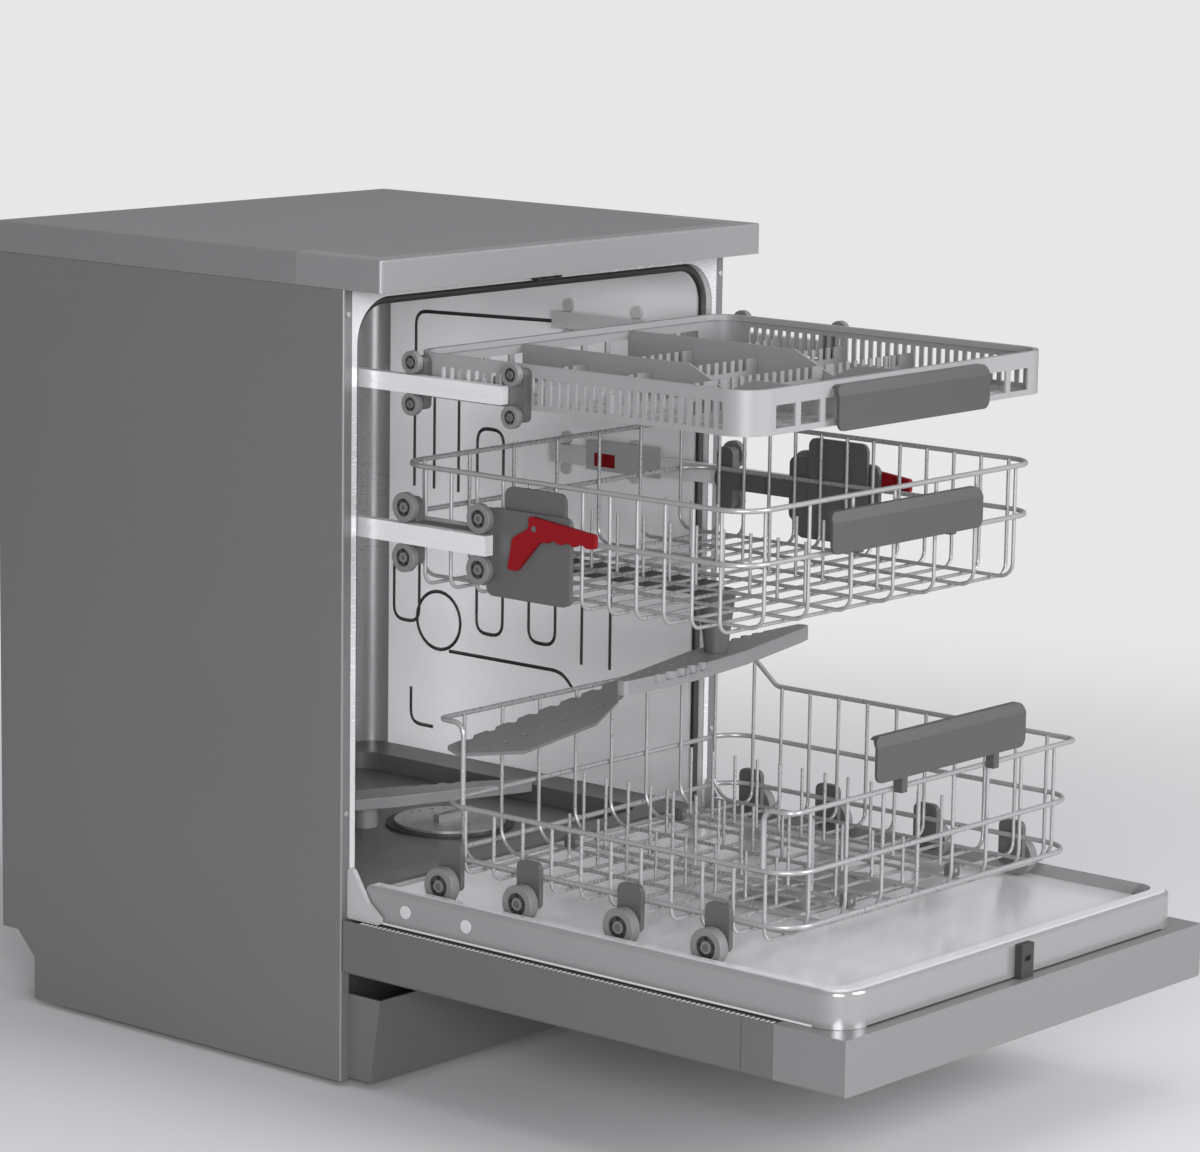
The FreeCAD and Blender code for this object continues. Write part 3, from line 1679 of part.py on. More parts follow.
def rack_frame():
    wires = []
    for level in (rack_low_rim, rack_side_ring):
        ring = ring_points(rack_half_width, rack_front, rack_rear, level)
        wires += bent_wire(ring, rim_bend, rim_wire, True)
    post_foot = rack_low_rim + rim_wire + weld
    post_front = rack_front - rim_bend
    post_rear = rack_rear + rim_bend
    upper = [
        vec(-rack_half_width, -post_front, post_foot),
        vec(-rack_half_width, -post_front, rack_top_rim),
        vec(-rack_half_width, -rack_front, rack_top_rim),
        vec(rack_half_width, -rack_front, rack_top_rim),
        vec(rack_half_width, -rack_rise_front, rack_top_rim),
        vec(rack_half_width, -rack_rise_rear, rack_rear_rim),
        vec(rack_half_width, -rack_rear, rack_rear_rim),
        vec(-rack_half_width, -rack_rear, rack_rear_rim),
        vec(-rack_half_width, -post_rear, rack_rear_rim),
        vec(-rack_half_width, -post_rear, post_foot),
    ]
    wires += bent_wire(upper, wire_bend, rim_wire)
    wires += wire_box(
        rack_half_width,
        rack_front,
        rack_rear,
        rack_bottom,
        (rack_low_rim, rack_top_rim, rack_rear_rim),
        rack_right_top,
        rack_cross_count,
        rack_long_count,
        rack_long_bend,
    )
    foot = rack_bottom + thin_wire + weld
    wires += tines(rack_tine_x, rack_front, rack_rear, rack_cross_count, foot, rack_tine_height)
    save("rack_wires", wires)
    wire_handle(
        "rack_handle", rack_front, rack_handle_bottom, rack_handle_height, rack_top_rim - rim_wire
    )


def plate_rest():
    # perforated leaf that leans forward from the rear wires
    shoulder_left, shoulder_right = rest_shoulder_shares
    outline = [
        (0, 0),
        (0, -rest_depth * rest_tip_share),
        (rest_length * shoulder_left, -rest_depth),
        (rest_length * shoulder_right, -rest_depth),
        (rest_length, -rest_depth * rest_tip_share),
        (rest_length, 0),
    ]
    leaf = slab_z(outline, 0, rest_thickness, rest_corner)
    cuts = []
    for share in shares(rest_scallop_count + 2)[1:-1]:
        centre = vec(rest_length * share, rest_scallop_radius - rest_scallop_bite, 0)
        cuts.append(drum(rest_scallop_radius, centre, axis_z, rest_thickness))
    for share in shares(rest_hole_count + 2)[1:-1]:
        centre = vec(rest_length * share, -rest_depth * rest_hole_share, 0)
        cuts.append(drum(rest_hole_radius, centre, axis_z, rest_thickness))
    leaf = leaf.cut(Part.makeCompound(cuts))
    leaf.rotate(vec(0, 0, 0), axis_x, rest_lean_turn)
    leaf.rotate(vec(0, 0, 0), axis_y, -rest_rise_turn)
    leaf.translate(vec(-rest_left, 0, rest_level))
    contact = -rack_rear - rim_wire - 2 * thin_wire - weld - seat
    leaf.translate(vec(0, contact - leaf.BoundBox.YMax, 0))
    return leaf


def rack_wheels():
    axle_z = track_height + wheel_radius + seat
    wheel_low = wheel_centre_x - wheel_width / 2
    wheel_high = wheel_centre_x + wheel_width / 2
    fork_low = rack_half_width + rim_wire + seat
    fork_high = fork_low + fork_thickness
    forks = []
    for index, y in enumerate(wheel_places):
        outline = oblong(
            y - fork_width / 2, y + fork_width / 2, axle_z - fork_width / 4, rack_side_ring + fork_width / 2
        )
        plate = slab_x(outline, fork_low, fork_high, fork_width / 4)
        pin = drum(wheel_pin_radius, vec(fork_high - seat, y, axle_z), axis_x, wheel_high - fork_high)
        forks.append(plate.fuse(pin).removeSplitter())
        wheel = roller(wheel_radius, y, axle_z, wheel_low, wheel_high, wheel_pin_radius)
        save("rack_wheels_" + str(index + 1), both_sides([wheel]))
    return both_sides(forks)


def lower_rack():
    rack_frame()
    fittings = rack_wheels() + [plate_rest()]
    deck = rack_bottom + 3 * thin_wire + 2 * weld
    level = deck + clip_side / 2
    for name, wire in zip(("tine_row_left", "tine_row_right"), row_wires):
        x = between(-rack_half_width + rim_bend, rack_half_width - rim_bend, shares(rack_long_count)[wire])
        tine_row(name, x, level)
        for y in (-row_rear - clip_width / 2, -row_front + clip_width / 2):
            face = oblong(x - clip_side / 2, x + clip_side / 2, deck, deck + clip_side)
            clip = slab_y(face, y - clip_width / 2, y + clip_width / 2, bar_wire)
            bore = drum(bar_wire + running_gap, vec(x, y - clip_width, level), axis_y, 2 * clip_width)
            fittings.append(clip.cut(bore))
    save("rack_fittings", fittings)


worktop()
side_panels()
base_and_feet()
plinth()
tub()
sump_and_filter()
front_frame()
pumps()
feed_pipe()
spray_arm("spray_arm_lower", lower_arm_y, lower_arm_span, lower_arm_bottom, lower_arm_height, lower_arm_turn)
spray_arm(
    "spray_arm_middle", middle_arm_y, middle_arm_span, middle_arm_bottom, middle_arm_height, middle_arm_turn
)
spray_arm("spray_arm_top", top_arm_y, top_arm_span, top_arm_bottom, top_arm_height, top_arm_turn)
door()
door_liner()
dispenser()
latch_and_hinges()
rail_guides()
cutlery_tray()
upper_basket()
lower_rack()
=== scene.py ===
import math
import bmesh
import bpy
from mathutils import Matrix, Vector


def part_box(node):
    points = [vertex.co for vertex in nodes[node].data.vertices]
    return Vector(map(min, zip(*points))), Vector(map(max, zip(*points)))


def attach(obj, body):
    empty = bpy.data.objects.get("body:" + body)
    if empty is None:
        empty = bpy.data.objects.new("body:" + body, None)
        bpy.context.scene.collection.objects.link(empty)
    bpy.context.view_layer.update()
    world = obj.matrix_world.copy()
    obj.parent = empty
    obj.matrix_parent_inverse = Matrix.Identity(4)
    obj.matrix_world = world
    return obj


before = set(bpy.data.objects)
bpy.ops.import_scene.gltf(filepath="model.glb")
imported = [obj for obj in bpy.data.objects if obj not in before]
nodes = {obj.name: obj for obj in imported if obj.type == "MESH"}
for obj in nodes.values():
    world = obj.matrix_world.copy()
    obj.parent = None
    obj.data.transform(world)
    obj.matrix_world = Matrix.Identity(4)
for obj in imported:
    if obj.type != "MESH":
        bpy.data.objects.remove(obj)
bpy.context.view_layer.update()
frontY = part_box("side_panel_left")[0].y  # plane of the side panels' front edges
print("frame loaded:", len(nodes), "nodes")

# noise shared by the finishes: fine grain over broad patches
grainLook = {"detail": 5, "share": 0.55, "patchScale": 3.1, "patchDetail": 2, "patchShare": 0.45,
             "roughStart": 0.3, "roughEnd": 0.7, "bumpDistance": 0.0004}
# dark ring of a wheel, in shares of its dish radius
hubLook = {"innerStart": 0.5, "innerEnd": 0.58, "outerStart": 0.93, "outerEnd": 1.0}


def newGroup(name, inputs, outputs):
    group = bpy.data.node_groups.new(name, "ShaderNodeTree")
    for label, kind in inputs:
        group.interface.new_socket(name=label, in_out="INPUT", socket_type="NodeSocket" + kind)
    for label, kind in outputs:
        group.interface.new_socket(name=label, in_out="OUTPUT", socket_type="NodeSocket" + kind)
    source = group.nodes.new("NodeGroupInput")
    target = group.nodes.new("NodeGroupOutput")
    return group, source, target


def addNode(tree, kind, operation=None):
    node = tree.nodes.new("ShaderNode" + kind)
    if operation:
        node.operation = operation
    return node


def addRamp(tree, value, start, end):
    # share of the way that a value has come from start to end
    ramp = addNode(tree, "MapRange")
    ramp.inputs["From Min"].default_value = start
    ramp.inputs["From Max"].default_value = end
    tree.links.new(value, ramp.inputs["Value"])
    return ramp


def addMix(tree, factor, colour):
    # blends a colour towards the one that goes into input B
    mix = addNode(tree, "Mix")
    mix.data_type = "RGBA"
    tree.links.new(factor, mix.inputs["Factor"])
    tree.links.new(colour, mix.inputs["A"])
    return mix


def makeGrainGroup():
    # gives a colour, a roughness and a height for bump
    group, source, target = newGroup(
        "surfaceGrain",
        [("Base", "Color"), ("Tint", "Color"), ("Stretch", "Vector"), ("Grain Scale", "Float"),
         ("Rough Low", "Float"), ("Rough High", "Float")],
        [("Color", "Color"), ("Roughness", "Float"), ("Height", "Float")],
    )
    coords = addNode(group, "TexCoord")
    mapping = addNode(group, "Mapping")
    group.links.new(coords.outputs["Object"], mapping.inputs["Vector"])
    group.links.new(source.outputs["Stretch"], mapping.inputs["Scale"])
    grain = addNode(group, "TexNoise")
    grain.inputs["Detail"].default_value = grainLook["detail"]
    group.links.new(mapping.outputs["Vector"], grain.inputs["Vector"])
    group.links.new(source.outputs["Grain Scale"], grain.inputs["Scale"])
    patches = addNode(group, "TexNoise")
    patches.inputs["Scale"].default_value = grainLook["patchScale"]
    patches.inputs["Detail"].default_value = grainLook["patchDetail"]
    group.links.new(coords.outputs["Object"], patches.inputs["Vector"])
    scaled = addNode(group, "Math", "MULTIPLY")
    scaled.inputs[1].default_value = grainLook["share"]
    group.links.new(grain.outputs["Fac"], scaled.inputs[0])
    blend = addNode(group, "Math", "MULTIPLY_ADD")
    blend.inputs[1].default_value = grainLook["patchShare"]
    group.links.new(patches.outputs["Fac"], blend.inputs[0])
    group.links.new(scaled.outputs[0], blend.inputs[2])
    mix = addMix(group, blend.outputs[0], source.outputs["Base"])
    group.links.new(source.outputs["Tint"], mix.inputs["B"])
    group.links.new(mix.outputs["Result"], target.inputs["Color"])
    rough = addRamp(group, blend.outputs[0], grainLook["roughStart"], grainLook["roughEnd"])
    group.links.new(source.outputs["Rough Low"], rough.inputs["To Min"])
    group.links.new(source.outputs["Rough High"], rough.inputs["To Max"])
    group.links.new(rough.outputs["Result"], target.inputs["Roughness"])
    group.links.new(grain.outputs["Fac"], target.inputs["Height"])
    return group


def makeHubGroup():
    # rings round an axle along X: dark dish with a paler centre
    group, source, target = newGroup(
        "wheelHub",
        [("Tread", "Color"), ("Dish", "Color"), ("Axle", "Vector"), ("Dish Radius", "Float")],
        [("Color", "Color")],
    )
    coords = addNode(group, "TexCoord")
    offset = addNode(group, "VectorMath", "SUBTRACT")
    group.links.new(coords.outputs["Object"], offset.inputs[0])
    group.links.new(source.outputs["Axle"], offset.inputs[1])
    flat = addNode(group, "VectorMath", "MULTIPLY")
    flat.inputs[1].default_value = (0, 1, 1)
    group.links.new(offset.outputs[0], flat.inputs[0])
    reach = addNode(group, "VectorMath", "LENGTH")
    group.links.new(flat.outputs[0], reach.inputs[0])
    share = addNode(group, "Math", "DIVIDE")
    group.links.new(reach.outputs["Value"], share.inputs[0])
    group.links.new(source.outputs["Dish Radius"], share.inputs[1])
    inside = addRamp(group, share.outputs[0], hubLook["outerStart"], hubLook["outerEnd"])
    inside.inputs["To Min"].default_value = 1
    inside.inputs["To Max"].default_value = 0
    outside = addRamp(group, share.outputs[0], hubLook["innerStart"], hubLook["innerEnd"])
    ring = addNode(group, "Math", "MULTIPLY")
    group.links.new(inside.outputs[0], ring.inputs[0])
    group.links.new(outside.outputs[0], ring.inputs[1])
    mix = addMix(group, ring.outputs[0], source.outputs["Tread"])
    group.links.new(source.outputs["Dish"], mix.inputs["B"])
    group.links.new(mix.outputs["Result"], target.inputs["Color"])
    return group


grainGroup = makeGrainGroup()
hubGroup = makeHubGroup()


def grey(value):
    return (value, value, value, 1)


def makeFinish(name, base, tint, rough, metal=0.0, scale=180.0, stretch=(1, 1, 1), bump=0.0, coat=0.0):
    material = bpy.data.materials.new(name)
    material.use_nodes = True
    tree = material.node_tree
    shader = tree.nodes["Principled BSDF"]
    grain = addNode(tree, "Group")
    grain.node_tree = grainGroup
    grain.inputs["Base"].default_value = base
    grain.inputs["Tint"].default_value = tint
    grain.inputs["Stretch"].default_value = stretch
    grain.inputs["Grain Scale"].default_value = scale
    grain.inputs["Rough Low"].default_value = rough[0]
    grain.inputs["Rough High"].default_value = rough[1]
    tree.links.new(grain.outputs["Color"], shader.inputs["Base Color"])
    tree.links.new(grain.outputs["Roughness"], shader.inputs["Roughness"])
    shader.inputs["Metallic"].default_value = metal
    shader.inputs["Coat Weight"].default_value = coat
    if bump:
        relief = addNode(tree, "Bump")
        relief.inputs["Strength"].default_value = bump
        relief.inputs["Distance"].default_value = grainLook["bumpDistance"]
        tree.links.new(grain.outputs["Height"], relief.inputs["Height"])
        tree.links.new(relief.outputs["Normal"], shader.inputs["Normal"])
    return material


finishes = {
    "worktop": makeFinish("greyLaminate", grey(0.115), grey(0.138), (0.38, 0.5), scale=420, bump=0.12),
    "trim": makeFinish("worktopTrim", grey(0.165), grey(0.19), (0.32, 0.42), metal=0.2, scale=300),
    "side": makeFinish("sidePaint", grey(0.132), grey(0.158), (0.36, 0.46), metal=0.4, scale=900, bump=0.05),
    "rear": makeFinish("zincSheet", grey(0.3), grey(0.4), (0.4, 0.55), metal=0.8, scale=40),
    "black": makeFinish("blackMoulding", grey(0.012), grey(0.022), (0.45, 0.6), scale=500, bump=0.1),
    "plinth": makeFinish("plinthPaint", grey(0.12), grey(0.145), (0.34, 0.44), metal=0.45, scale=900),
    "tub": makeFinish("tubSteel", grey(0.955), grey(0.975), (0.29, 0.33), metal=0.15, scale=110, stretch=(1, 1, 9)),
    # rear wall of the tub: the side walls' steel made darker, painted shade
    "tubBackPaintedShade": makeFinish("tubRearSteelPaintedShade", grey(0.26), grey(0.3), (0.26, 0.32), metal=0.5, scale=110, stretch=(1, 1, 9)),
    # beads in the tub walls: dark grey in place of the steel's own tone, painted shade and reflection along the pressed
    # lines
    "bead": makeFinish("tubBeadPaintedShade", grey(0.08), grey(0.11), (0.2, 0.3), metal=0.8, scale=90),
    "floor": makeFinish("tubFloor", grey(0.075), grey(0.095), (0.36, 0.46), scale=300),
    "frameSteel": makeFinish("frontFrame", grey(0.55), grey(0.6), (0.22, 0.3), metal=0.4, scale=80, stretch=(1, 1, 9)),
    "gasket": makeFinish("doorSeal", grey(0.008), grey(0.014), (0.5, 0.62), scale=350),
    "arm": makeFinish("sprayArm", grey(0.13), grey(0.16), (0.38, 0.5), scale=300),
    "door": makeFinish("doorPaint", grey(0.115), grey(0.135), (0.32, 0.42), metal=0.45, scale=900),
    "fascia": makeFinish("fasciaPaint", grey(0.165), grey(0.185), (0.3, 0.4), metal=0.35, scale=900),
    "liner": makeFinish("linerSteel", grey(0.27), grey(0.29), (0.19, 0.21), metal=0.55, scale=90, stretch=(1, 12, 1)),
    "dispenser": makeFinish("dispenserGrey", grey(0.2), grey(0.24), (0.4, 0.5), scale=300),
    "hinge": makeFinish("hingeCover", grey(0.28), grey(0.32), (0.35, 0.45), scale=300),
    "tray": makeFinish("trayPlastic", grey(0.18), grey(0.21), (0.36, 0.48), scale=350),
    "handle": makeFinish("handleGrey", grey(0.036), grey(0.044), (0.34, 0.44), scale=500, bump=0.06),
    "carrier": makeFinish("carrierGrey", grey(0.055), grey(0.07), (0.4, 0.52), scale=400),
    "rackParts": makeFinish("rackPartGrey", grey(0.055), grey(0.07), (0.4, 0.52), scale=400),
    "rail": makeFinish("railSteel", grey(0.6), grey(0.66), (0.26, 0.36), metal=0.4, scale=120, stretch=(1, 0.08, 1)),
    "wire": makeFinish("coatedWire", grey(0.24), grey(0.29), (0.24, 0.34), metal=0.4, scale=260),
    "lever": makeFinish("leverRed", (0.13, 0.002, 0.004, 1), (0.17, 0.003, 0.006, 1), (0.45, 0.55), scale=250),
    "guide": makeFinish("guideNylon", grey(0.36), grey(0.42), (0.4, 0.5), scale=300),
    "mesh": makeFinish("filterMesh", grey(0.3), grey(0.4), (0.3, 0.4), metal=0.8, scale=700, bump=0.4),
    "button": makeFinish("buttonGrey", grey(0.1), grey(0.13), (0.25, 0.35), scale=300),
    "display": makeFinish("displayGlass", grey(0.01), grey(0.016), (0.08, 0.14), scale=200, coat=0.6),
}


def mixTone(material, value, start, end, tone):
    # blends a second tone in where a value goes from start to end
    tree = material.node_tree
    target = tree.nodes["Principled BSDF"].inputs["Base Color"]
    colour = target.links[0].from_socket
    ramp = addRamp(tree, value, start, end)
    mix = addMix(tree, ramp.outputs["Result"], colour)
    mix.inputs["B"].default_value = tone
    tree.links.new(mix.outputs["Result"], target)


def takePart(material, kind, output, axis):
    # one part of a normal or of a place on the piece
    tree = material.node_tree
    split = addNode(tree, "SeparateXYZ")
    tree.links.new(addNode(tree, kind).outputs[output], split.inputs[0])
    return split.outputs[axis]


# second tones: painted shade on the tub walls, painted light on the upward faces of the inner door, paler tones above
# given heights; places are metres in the shared frame, facing is the upward part of a normal
tubPaintedShade = {"deep": 0.42, "front": 0.1, "tone": grey(0.62)}
linerPaintedLight = {"facingStart": 0.8, "facingEnd": 0.97, "tone": grey(0.78)}
heightTones = {
    "floor": {"height": 0.236, "tone": grey(0.4)},
    "rackParts": {"height": 0.33, "tone": grey(0.11)},
}
heightBlend = 0.004
leverGloss = 0.15


def addTones():
    # painted shade on the tub walls, darker towards the front; painted light on the upward faces of the inner door;
    # pale pan ledge and plate rest
    tub, liner = finishes["tub"], finishes["liner"]
    depth = takePart(tub, "TexCoord", "Object", "Y")
    mixTone(tub, depth, tubPaintedShade["deep"], tubPaintedShade["front"], tubPaintedShade["tone"])
    facing = takePart(liner, "NewGeometry", "Normal", "Z")
    mixTone(liner, facing, linerPaintedLight["facingStart"], linerPaintedLight["facingEnd"], linerPaintedLight["tone"])
    for name, look in heightTones.items():
        height = takePart(finishes[name], "TexCoord", "Object", "Z")
        mixTone(finishes[name], height, look["height"], look["height"] + heightBlend, look["tone"])
    lever = finishes["lever"].node_tree.nodes["Principled BSDF"]
    lever.inputs["Specular IOR Level"].default_value = leverGloss


addTones()

nodeFinish = {
    "worktop_board": "worktop", "worktop_trim": "trim", "side_panel_left": "side", "side_panel_right": "side",
    "rear_panel": "rear", "base_tray": "black", "feet": "black", "plinth": "plinth", "tub_wrap": "tub",
    "tub_back": "tubBackPaintedShade", "tub_floor": "floor", "sump": "black", "filter": "mesh", "salt_cap": "carrier",
    "front_frame": "frameSteel", "door_gasket": "gasket", "door_striker": "black", "pumps": "black",
    "feed_pipe": "arm", "rail_guides": "guide", "spray_arm_lower": "arm", "spray_arm_middle": "arm",
    "spray_arm_top": "arm", "door_outer_panel": "door", "control_fascia": "fascia", "button_power": "button",
    "button_start": "button", "door_liner": "liner", "dispenser_body": "dispenser", "dispenser_lid": "tray",
    "door_latch": "black", "hinge_covers": "hinge", "tray_body": "tray", "tray_handle": "handle",
    "tray_carriers": "carrier", "tray_rails": "rail", "basket_wires": "wire", "basket_handle": "handle",
    "basket_fittings": "carrier", "basket_carriers": "carrier", "basket_rails": "rail", "lever_left": "lever",
    "lever_right": "lever", "rack_wires": "wire", "rack_handle": "handle", "rack_fittings": "rackParts",
    "tine_row_left": "wire", "tine_row_right": "wire",
}


def dress(piece, material):
    piece.data.materials.clear()
    piece.data.materials.append(material)


# wheels and rollers: grey tread, dark dish
wheelLook = {"tread": grey(0.12), "dish": grey(0.02), "dishShare": 0.62, "rough": 0.45}


def dressWheel(name):
    low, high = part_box(name)
    material = bpy.data.materials.new(name + "Nylon")
    material.use_nodes = True
    tree = material.node_tree
    shader = tree.nodes["Principled BSDF"]
    shader.inputs["Roughness"].default_value = wheelLook["rough"]
    hub = addNode(tree, "Group")
    hub.node_tree = hubGroup
    hub.inputs["Tread"].default_value = wheelLook["tread"]
    hub.inputs["Dish"].default_value = wheelLook["dish"]
    hub.inputs["Axle"].default_value = (low + high) / 2
    hub.inputs["Dish Radius"].default_value = (high.z - low.z) / 2 * wheelLook["dishShare"]
    tree.links.new(hub.outputs["Color"], shader.inputs["Base Color"])
    dress(nodes[name], material)


for name, piece in nodes.items():
    if name in nodeFinish:
        dress(piece, finishes[nodeFinish[name]])
    elif "roller" in name or "wheels" in name:
        dressWheel(name)
print("finishes on the frame")

# counts of sides and steps in the pieces made here
meshSteps = {"disc": 20, "bead": 8, "edge": 2, "corner": 5, "ring": 30}
rimAngle = 1  # radians between the faces at the rim of a disc, at least


def addPiece(name, mesh, material, body):
    data = bpy.data.meshes.new(name)
    bmesh.ops.recalc_face_normals(mesh, faces=mesh.faces)
    mesh.to_mesh(data)
    mesh.free()
    piece = bpy.data.objects.new(name, data)
    bpy.context.scene.collection.objects.link(piece)
    dress(piece, material)
    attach(piece, body)


def roundEdges(mesh, edges, size):
    bmesh.ops.bevel(
        mesh, geom=edges, offset=size, segments=meshSteps["edge"], profile=0.5, affect="EDGES", material=-1,
    )


def addBox(mesh, low, high, edge):
    low, high = Vector(low), Vector(high)
    middle, size = (low + high) / 2, high - low
    made = bmesh.ops.create_cube(mesh, size=1, matrix=Matrix.Translation(middle) @ Matrix.Diagonal(size).to_4x4())
    roundEdges(mesh, list({e for v in made["verts"] for e in v.link_edges}), edge)


def addDisc(mesh, centre, axis, radius, depth, edge):
    turn = Vector((0, 0, 1)).rotation_difference(Vector(axis)).to_matrix().to_4x4()
    made = bmesh.ops.create_cone(
        mesh, cap_ends=True, segments=meshSteps["disc"], radius1=radius, radius2=radius, depth=depth,
        matrix=Matrix.Translation(centre) @ turn,
    )
    rims = {e for v in made["verts"] for e in v.link_edges
            if len(e.link_faces) == 2 and e.calc_face_angle() > rimAngle}
    roundEdges(mesh, list(rims), edge)


def addBead(mesh, points, radius):
    # a small tube drawn along a path
    first = Vector(points[1]) - Vector(points[0])
    turn = Vector((0, 0, 1)).rotation_difference(first).to_matrix().to_4x4()
    ring = bmesh.ops.create_circle(
        mesh, segments=meshSteps["bead"], radius=radius, matrix=Matrix.Translation(points[0]) @ turn,
    )["verts"]
    edges = list({e for v in ring for e in v.link_edges})
    heading = first.normalized()
    for index in range(1, len(points)):
        here = Vector(points[index])
        grown = bmesh.ops.extrude_edge_only(mesh, edges=edges)["geom"]
        ring = [g for g in grown if isinstance(g, bmesh.types.BMVert)]
        edges = [g for g in grown if isinstance(g, bmesh.types.BMEdge)]
        bmesh.ops.translate(mesh, verts=ring, vec=here - Vector(points[index - 1]))
        if index + 1 < len(points):
            after = (Vector(points[index + 1]) - here).normalized()
            bend = heading.rotation_difference(after).to_matrix()
            bmesh.ops.rotate(mesh, verts=ring, cent=here, matrix=bend)
            heading = after


def ringPoints(centre, radius, count):
    turns = [math.radians(360 * step / count) for step in range(count + 1)]
    return [(centre[0] + radius * math.cos(turn), centre[1] + radius * math.sin(turn)) for turn in turns]


def softPath(points, bend, steps):
    # rounds the corners of a flat path
    soft = [points[0]]
    for before, corner, after in zip(points, points[1:], points[2:]):
        here = Vector(corner)
        into = (Vector(before) - here).normalized()
        out = (Vector(after) - here).normalized()
        start, end = here + into * bend, here + out * bend
        for step in range(steps + 1):
            share = step / steps
            soft.append(start.lerp(here, share).lerp(here.lerp(end, share), share))
    return soft + [points[-1]]


# raised faces of the beads pressed into the two side walls, in metres behind the front and above the floor
wallBeads = {
    "radius": 0.003,
    "sink": 0.0021,
    "guideGap": 0.0003,
    "bend": 0.016,
    "ring": ((0.391, 0.358), 0.034),
    "paths": [
        [(0.374, 0.324), (0.2, 0.324), (0.182, 0.304)],
        [(0.43, 0.66), (0.43, 0.716), (0.168, 0.724)],
        [(0.434, 0.274), (0.434, 0.231), (0.398, 0.231)],
        [(0.333, 0.508), (0.333, 0.59), (0.293, 0.59), (0.293, 0.508)],
    ],
    "uprights": [(0.431, 0.512, 0.62), (0.4, 0.512, 0.62), (0.362, 0.512, 0.62), (0.172, 0.336, 0.452),
                 (0.13, 0.336, 0.452)],
    "cups": (0.442, 0.312, 0.232),
    "cupHalfWidth": 0.02,
    "cupFoot": 0.352,
    "cupHead": 0.432,
}


def makeWallBeads():
    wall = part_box("rail_guides")[1].x + wallBeads["guideGap"] + wallBeads["sink"]
    half, foot, head = wallBeads["cupHalfWidth"], wallBeads["cupFoot"], wallBeads["cupHead"]
    paths = list(wallBeads["paths"])
    paths += [[(y + half, head), (y + half, foot), (y - half, foot), (y - half, head)] for y in wallBeads["cups"]]
    paths += [[(y, start), (y, end)] for y, start, end in wallBeads["uprights"]]
    lines = [softPath(path, wallBeads["bend"], meshSteps["corner"]) for path in paths]
    lines.append(ringPoints(*wallBeads["ring"], meshSteps["ring"]))
    for side, name in ((1, "tubBeadsRight"), (-1, "tubBeadsLeft")):
        mesh = bmesh.new()
        for line in lines:
            addBead(mesh, [Vector((side * wall, frontY + y, z)) for y, z in line], wallBeads["radius"])
        addPiece(name, mesh, finishes["bead"], "cabinet")


# screws in the folded front edges of the side panels
edgeScrews = {"inset": 0.0065, "heights": (0.792, 0.285), "radius": 0.003, "depth": 0.0012, "edge": 0.0004}


def makeEdgeScrews():
    mesh = bmesh.new()
    for side, node in ((-1, "side_panel_left"), (1, "side_panel_right")):
        low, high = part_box(node)
        x = (low.x if side < 0 else high.x) - side * edgeScrews["inset"]
        for z in edgeScrews["heights"]:
            centre = Vector((x, frontY - edgeScrews["depth"] / 2, z))
            addDisc(mesh, centre, (0, -1, 0), edgeScrews["radius"], edgeScrews["depth"], edgeScrews["edge"])
    addPiece("edgeScrews", mesh, finishes["rear"], "cabinet")


# round plugs in the side walls of the inner door
linerPlugs = {"places": (-0.075, -0.157), "height": 0.018, "radius": 0.007, "depth": 0.0016, "edge": 0.0005}


def makeLinerPlugs():
    mesh = bmesh.new()
    low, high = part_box("door_liner")
    for side, x in ((-1, low.x), (1, high.x)):
        for y in linerPlugs["places"]:
            centre = Vector((x + side * linerPlugs["depth"] / 2, frontY + y, low.z + linerPlugs["height"]))
            addDisc(mesh, centre, (side, 0, 0), linerPlugs["radius"], linerPlugs["depth"], linerPlugs["edge"])
    addPiece("linerPlugs", mesh, finishes["guide"], "cabinet")


# bracket with a red catch on the inner face of the right basket rail
railBracket = {"rear": 0.158, "front": 0.05, "foot": 0.563, "head": 0.5965, "thickness": 0.0004, "edge": 0.0001,
               "railDepth": 0.0115, "play": 0.00003}
railCatch = {"rear": 0.146, "front": 0.116, "foot": 0.5675, "head": 0.5825, "proud": 0.00015, "sink": 0.0001,
             "edge": 0.00004}


def makeRailBracket():
    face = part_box("basket_rails")[1].x - railBracket["railDepth"] - railBracket["play"]
    back = face - railBracket["thickness"]
    bracket, catch = bmesh.new(), bmesh.new()
    addBox(bracket, (back, frontY + railBracket["front"], railBracket["foot"]),
           (face, frontY + railBracket["rear"], railBracket["head"]), railBracket["edge"])
    addBox(catch, (back - railCatch["proud"], frontY + railCatch["front"], railCatch["foot"]),
           (back + railCatch["sink"], frontY + railCatch["rear"], railCatch["head"]), railCatch["edge"])
    addPiece("railBracket", bracket, finishes["hinge"], "basket_rails")
    addPiece("railCatch", catch, finishes["lever"], "basket_rails")


# ribbed sealing strip in the slot between the inner door and the outer panel, and the folded foot of the inner door
doorSeam = {"panelWall": 0.0012, "play": 0.0003, "sink": 0.0006, "thickness": 0.001, "edge": 0.0002, "corner": 0.036,
            "frontProud": 0.0007, "frontSink": 0.0005, "frontFoot": 0.0001, "frontHead": 0.0016}
seamRibs = {"pitch": 0.006, "width": 0.0028, "length": 0.0055, "height": 0.0009, "edge": 0.0003}
linerFoot = {"radius": 0.0012}


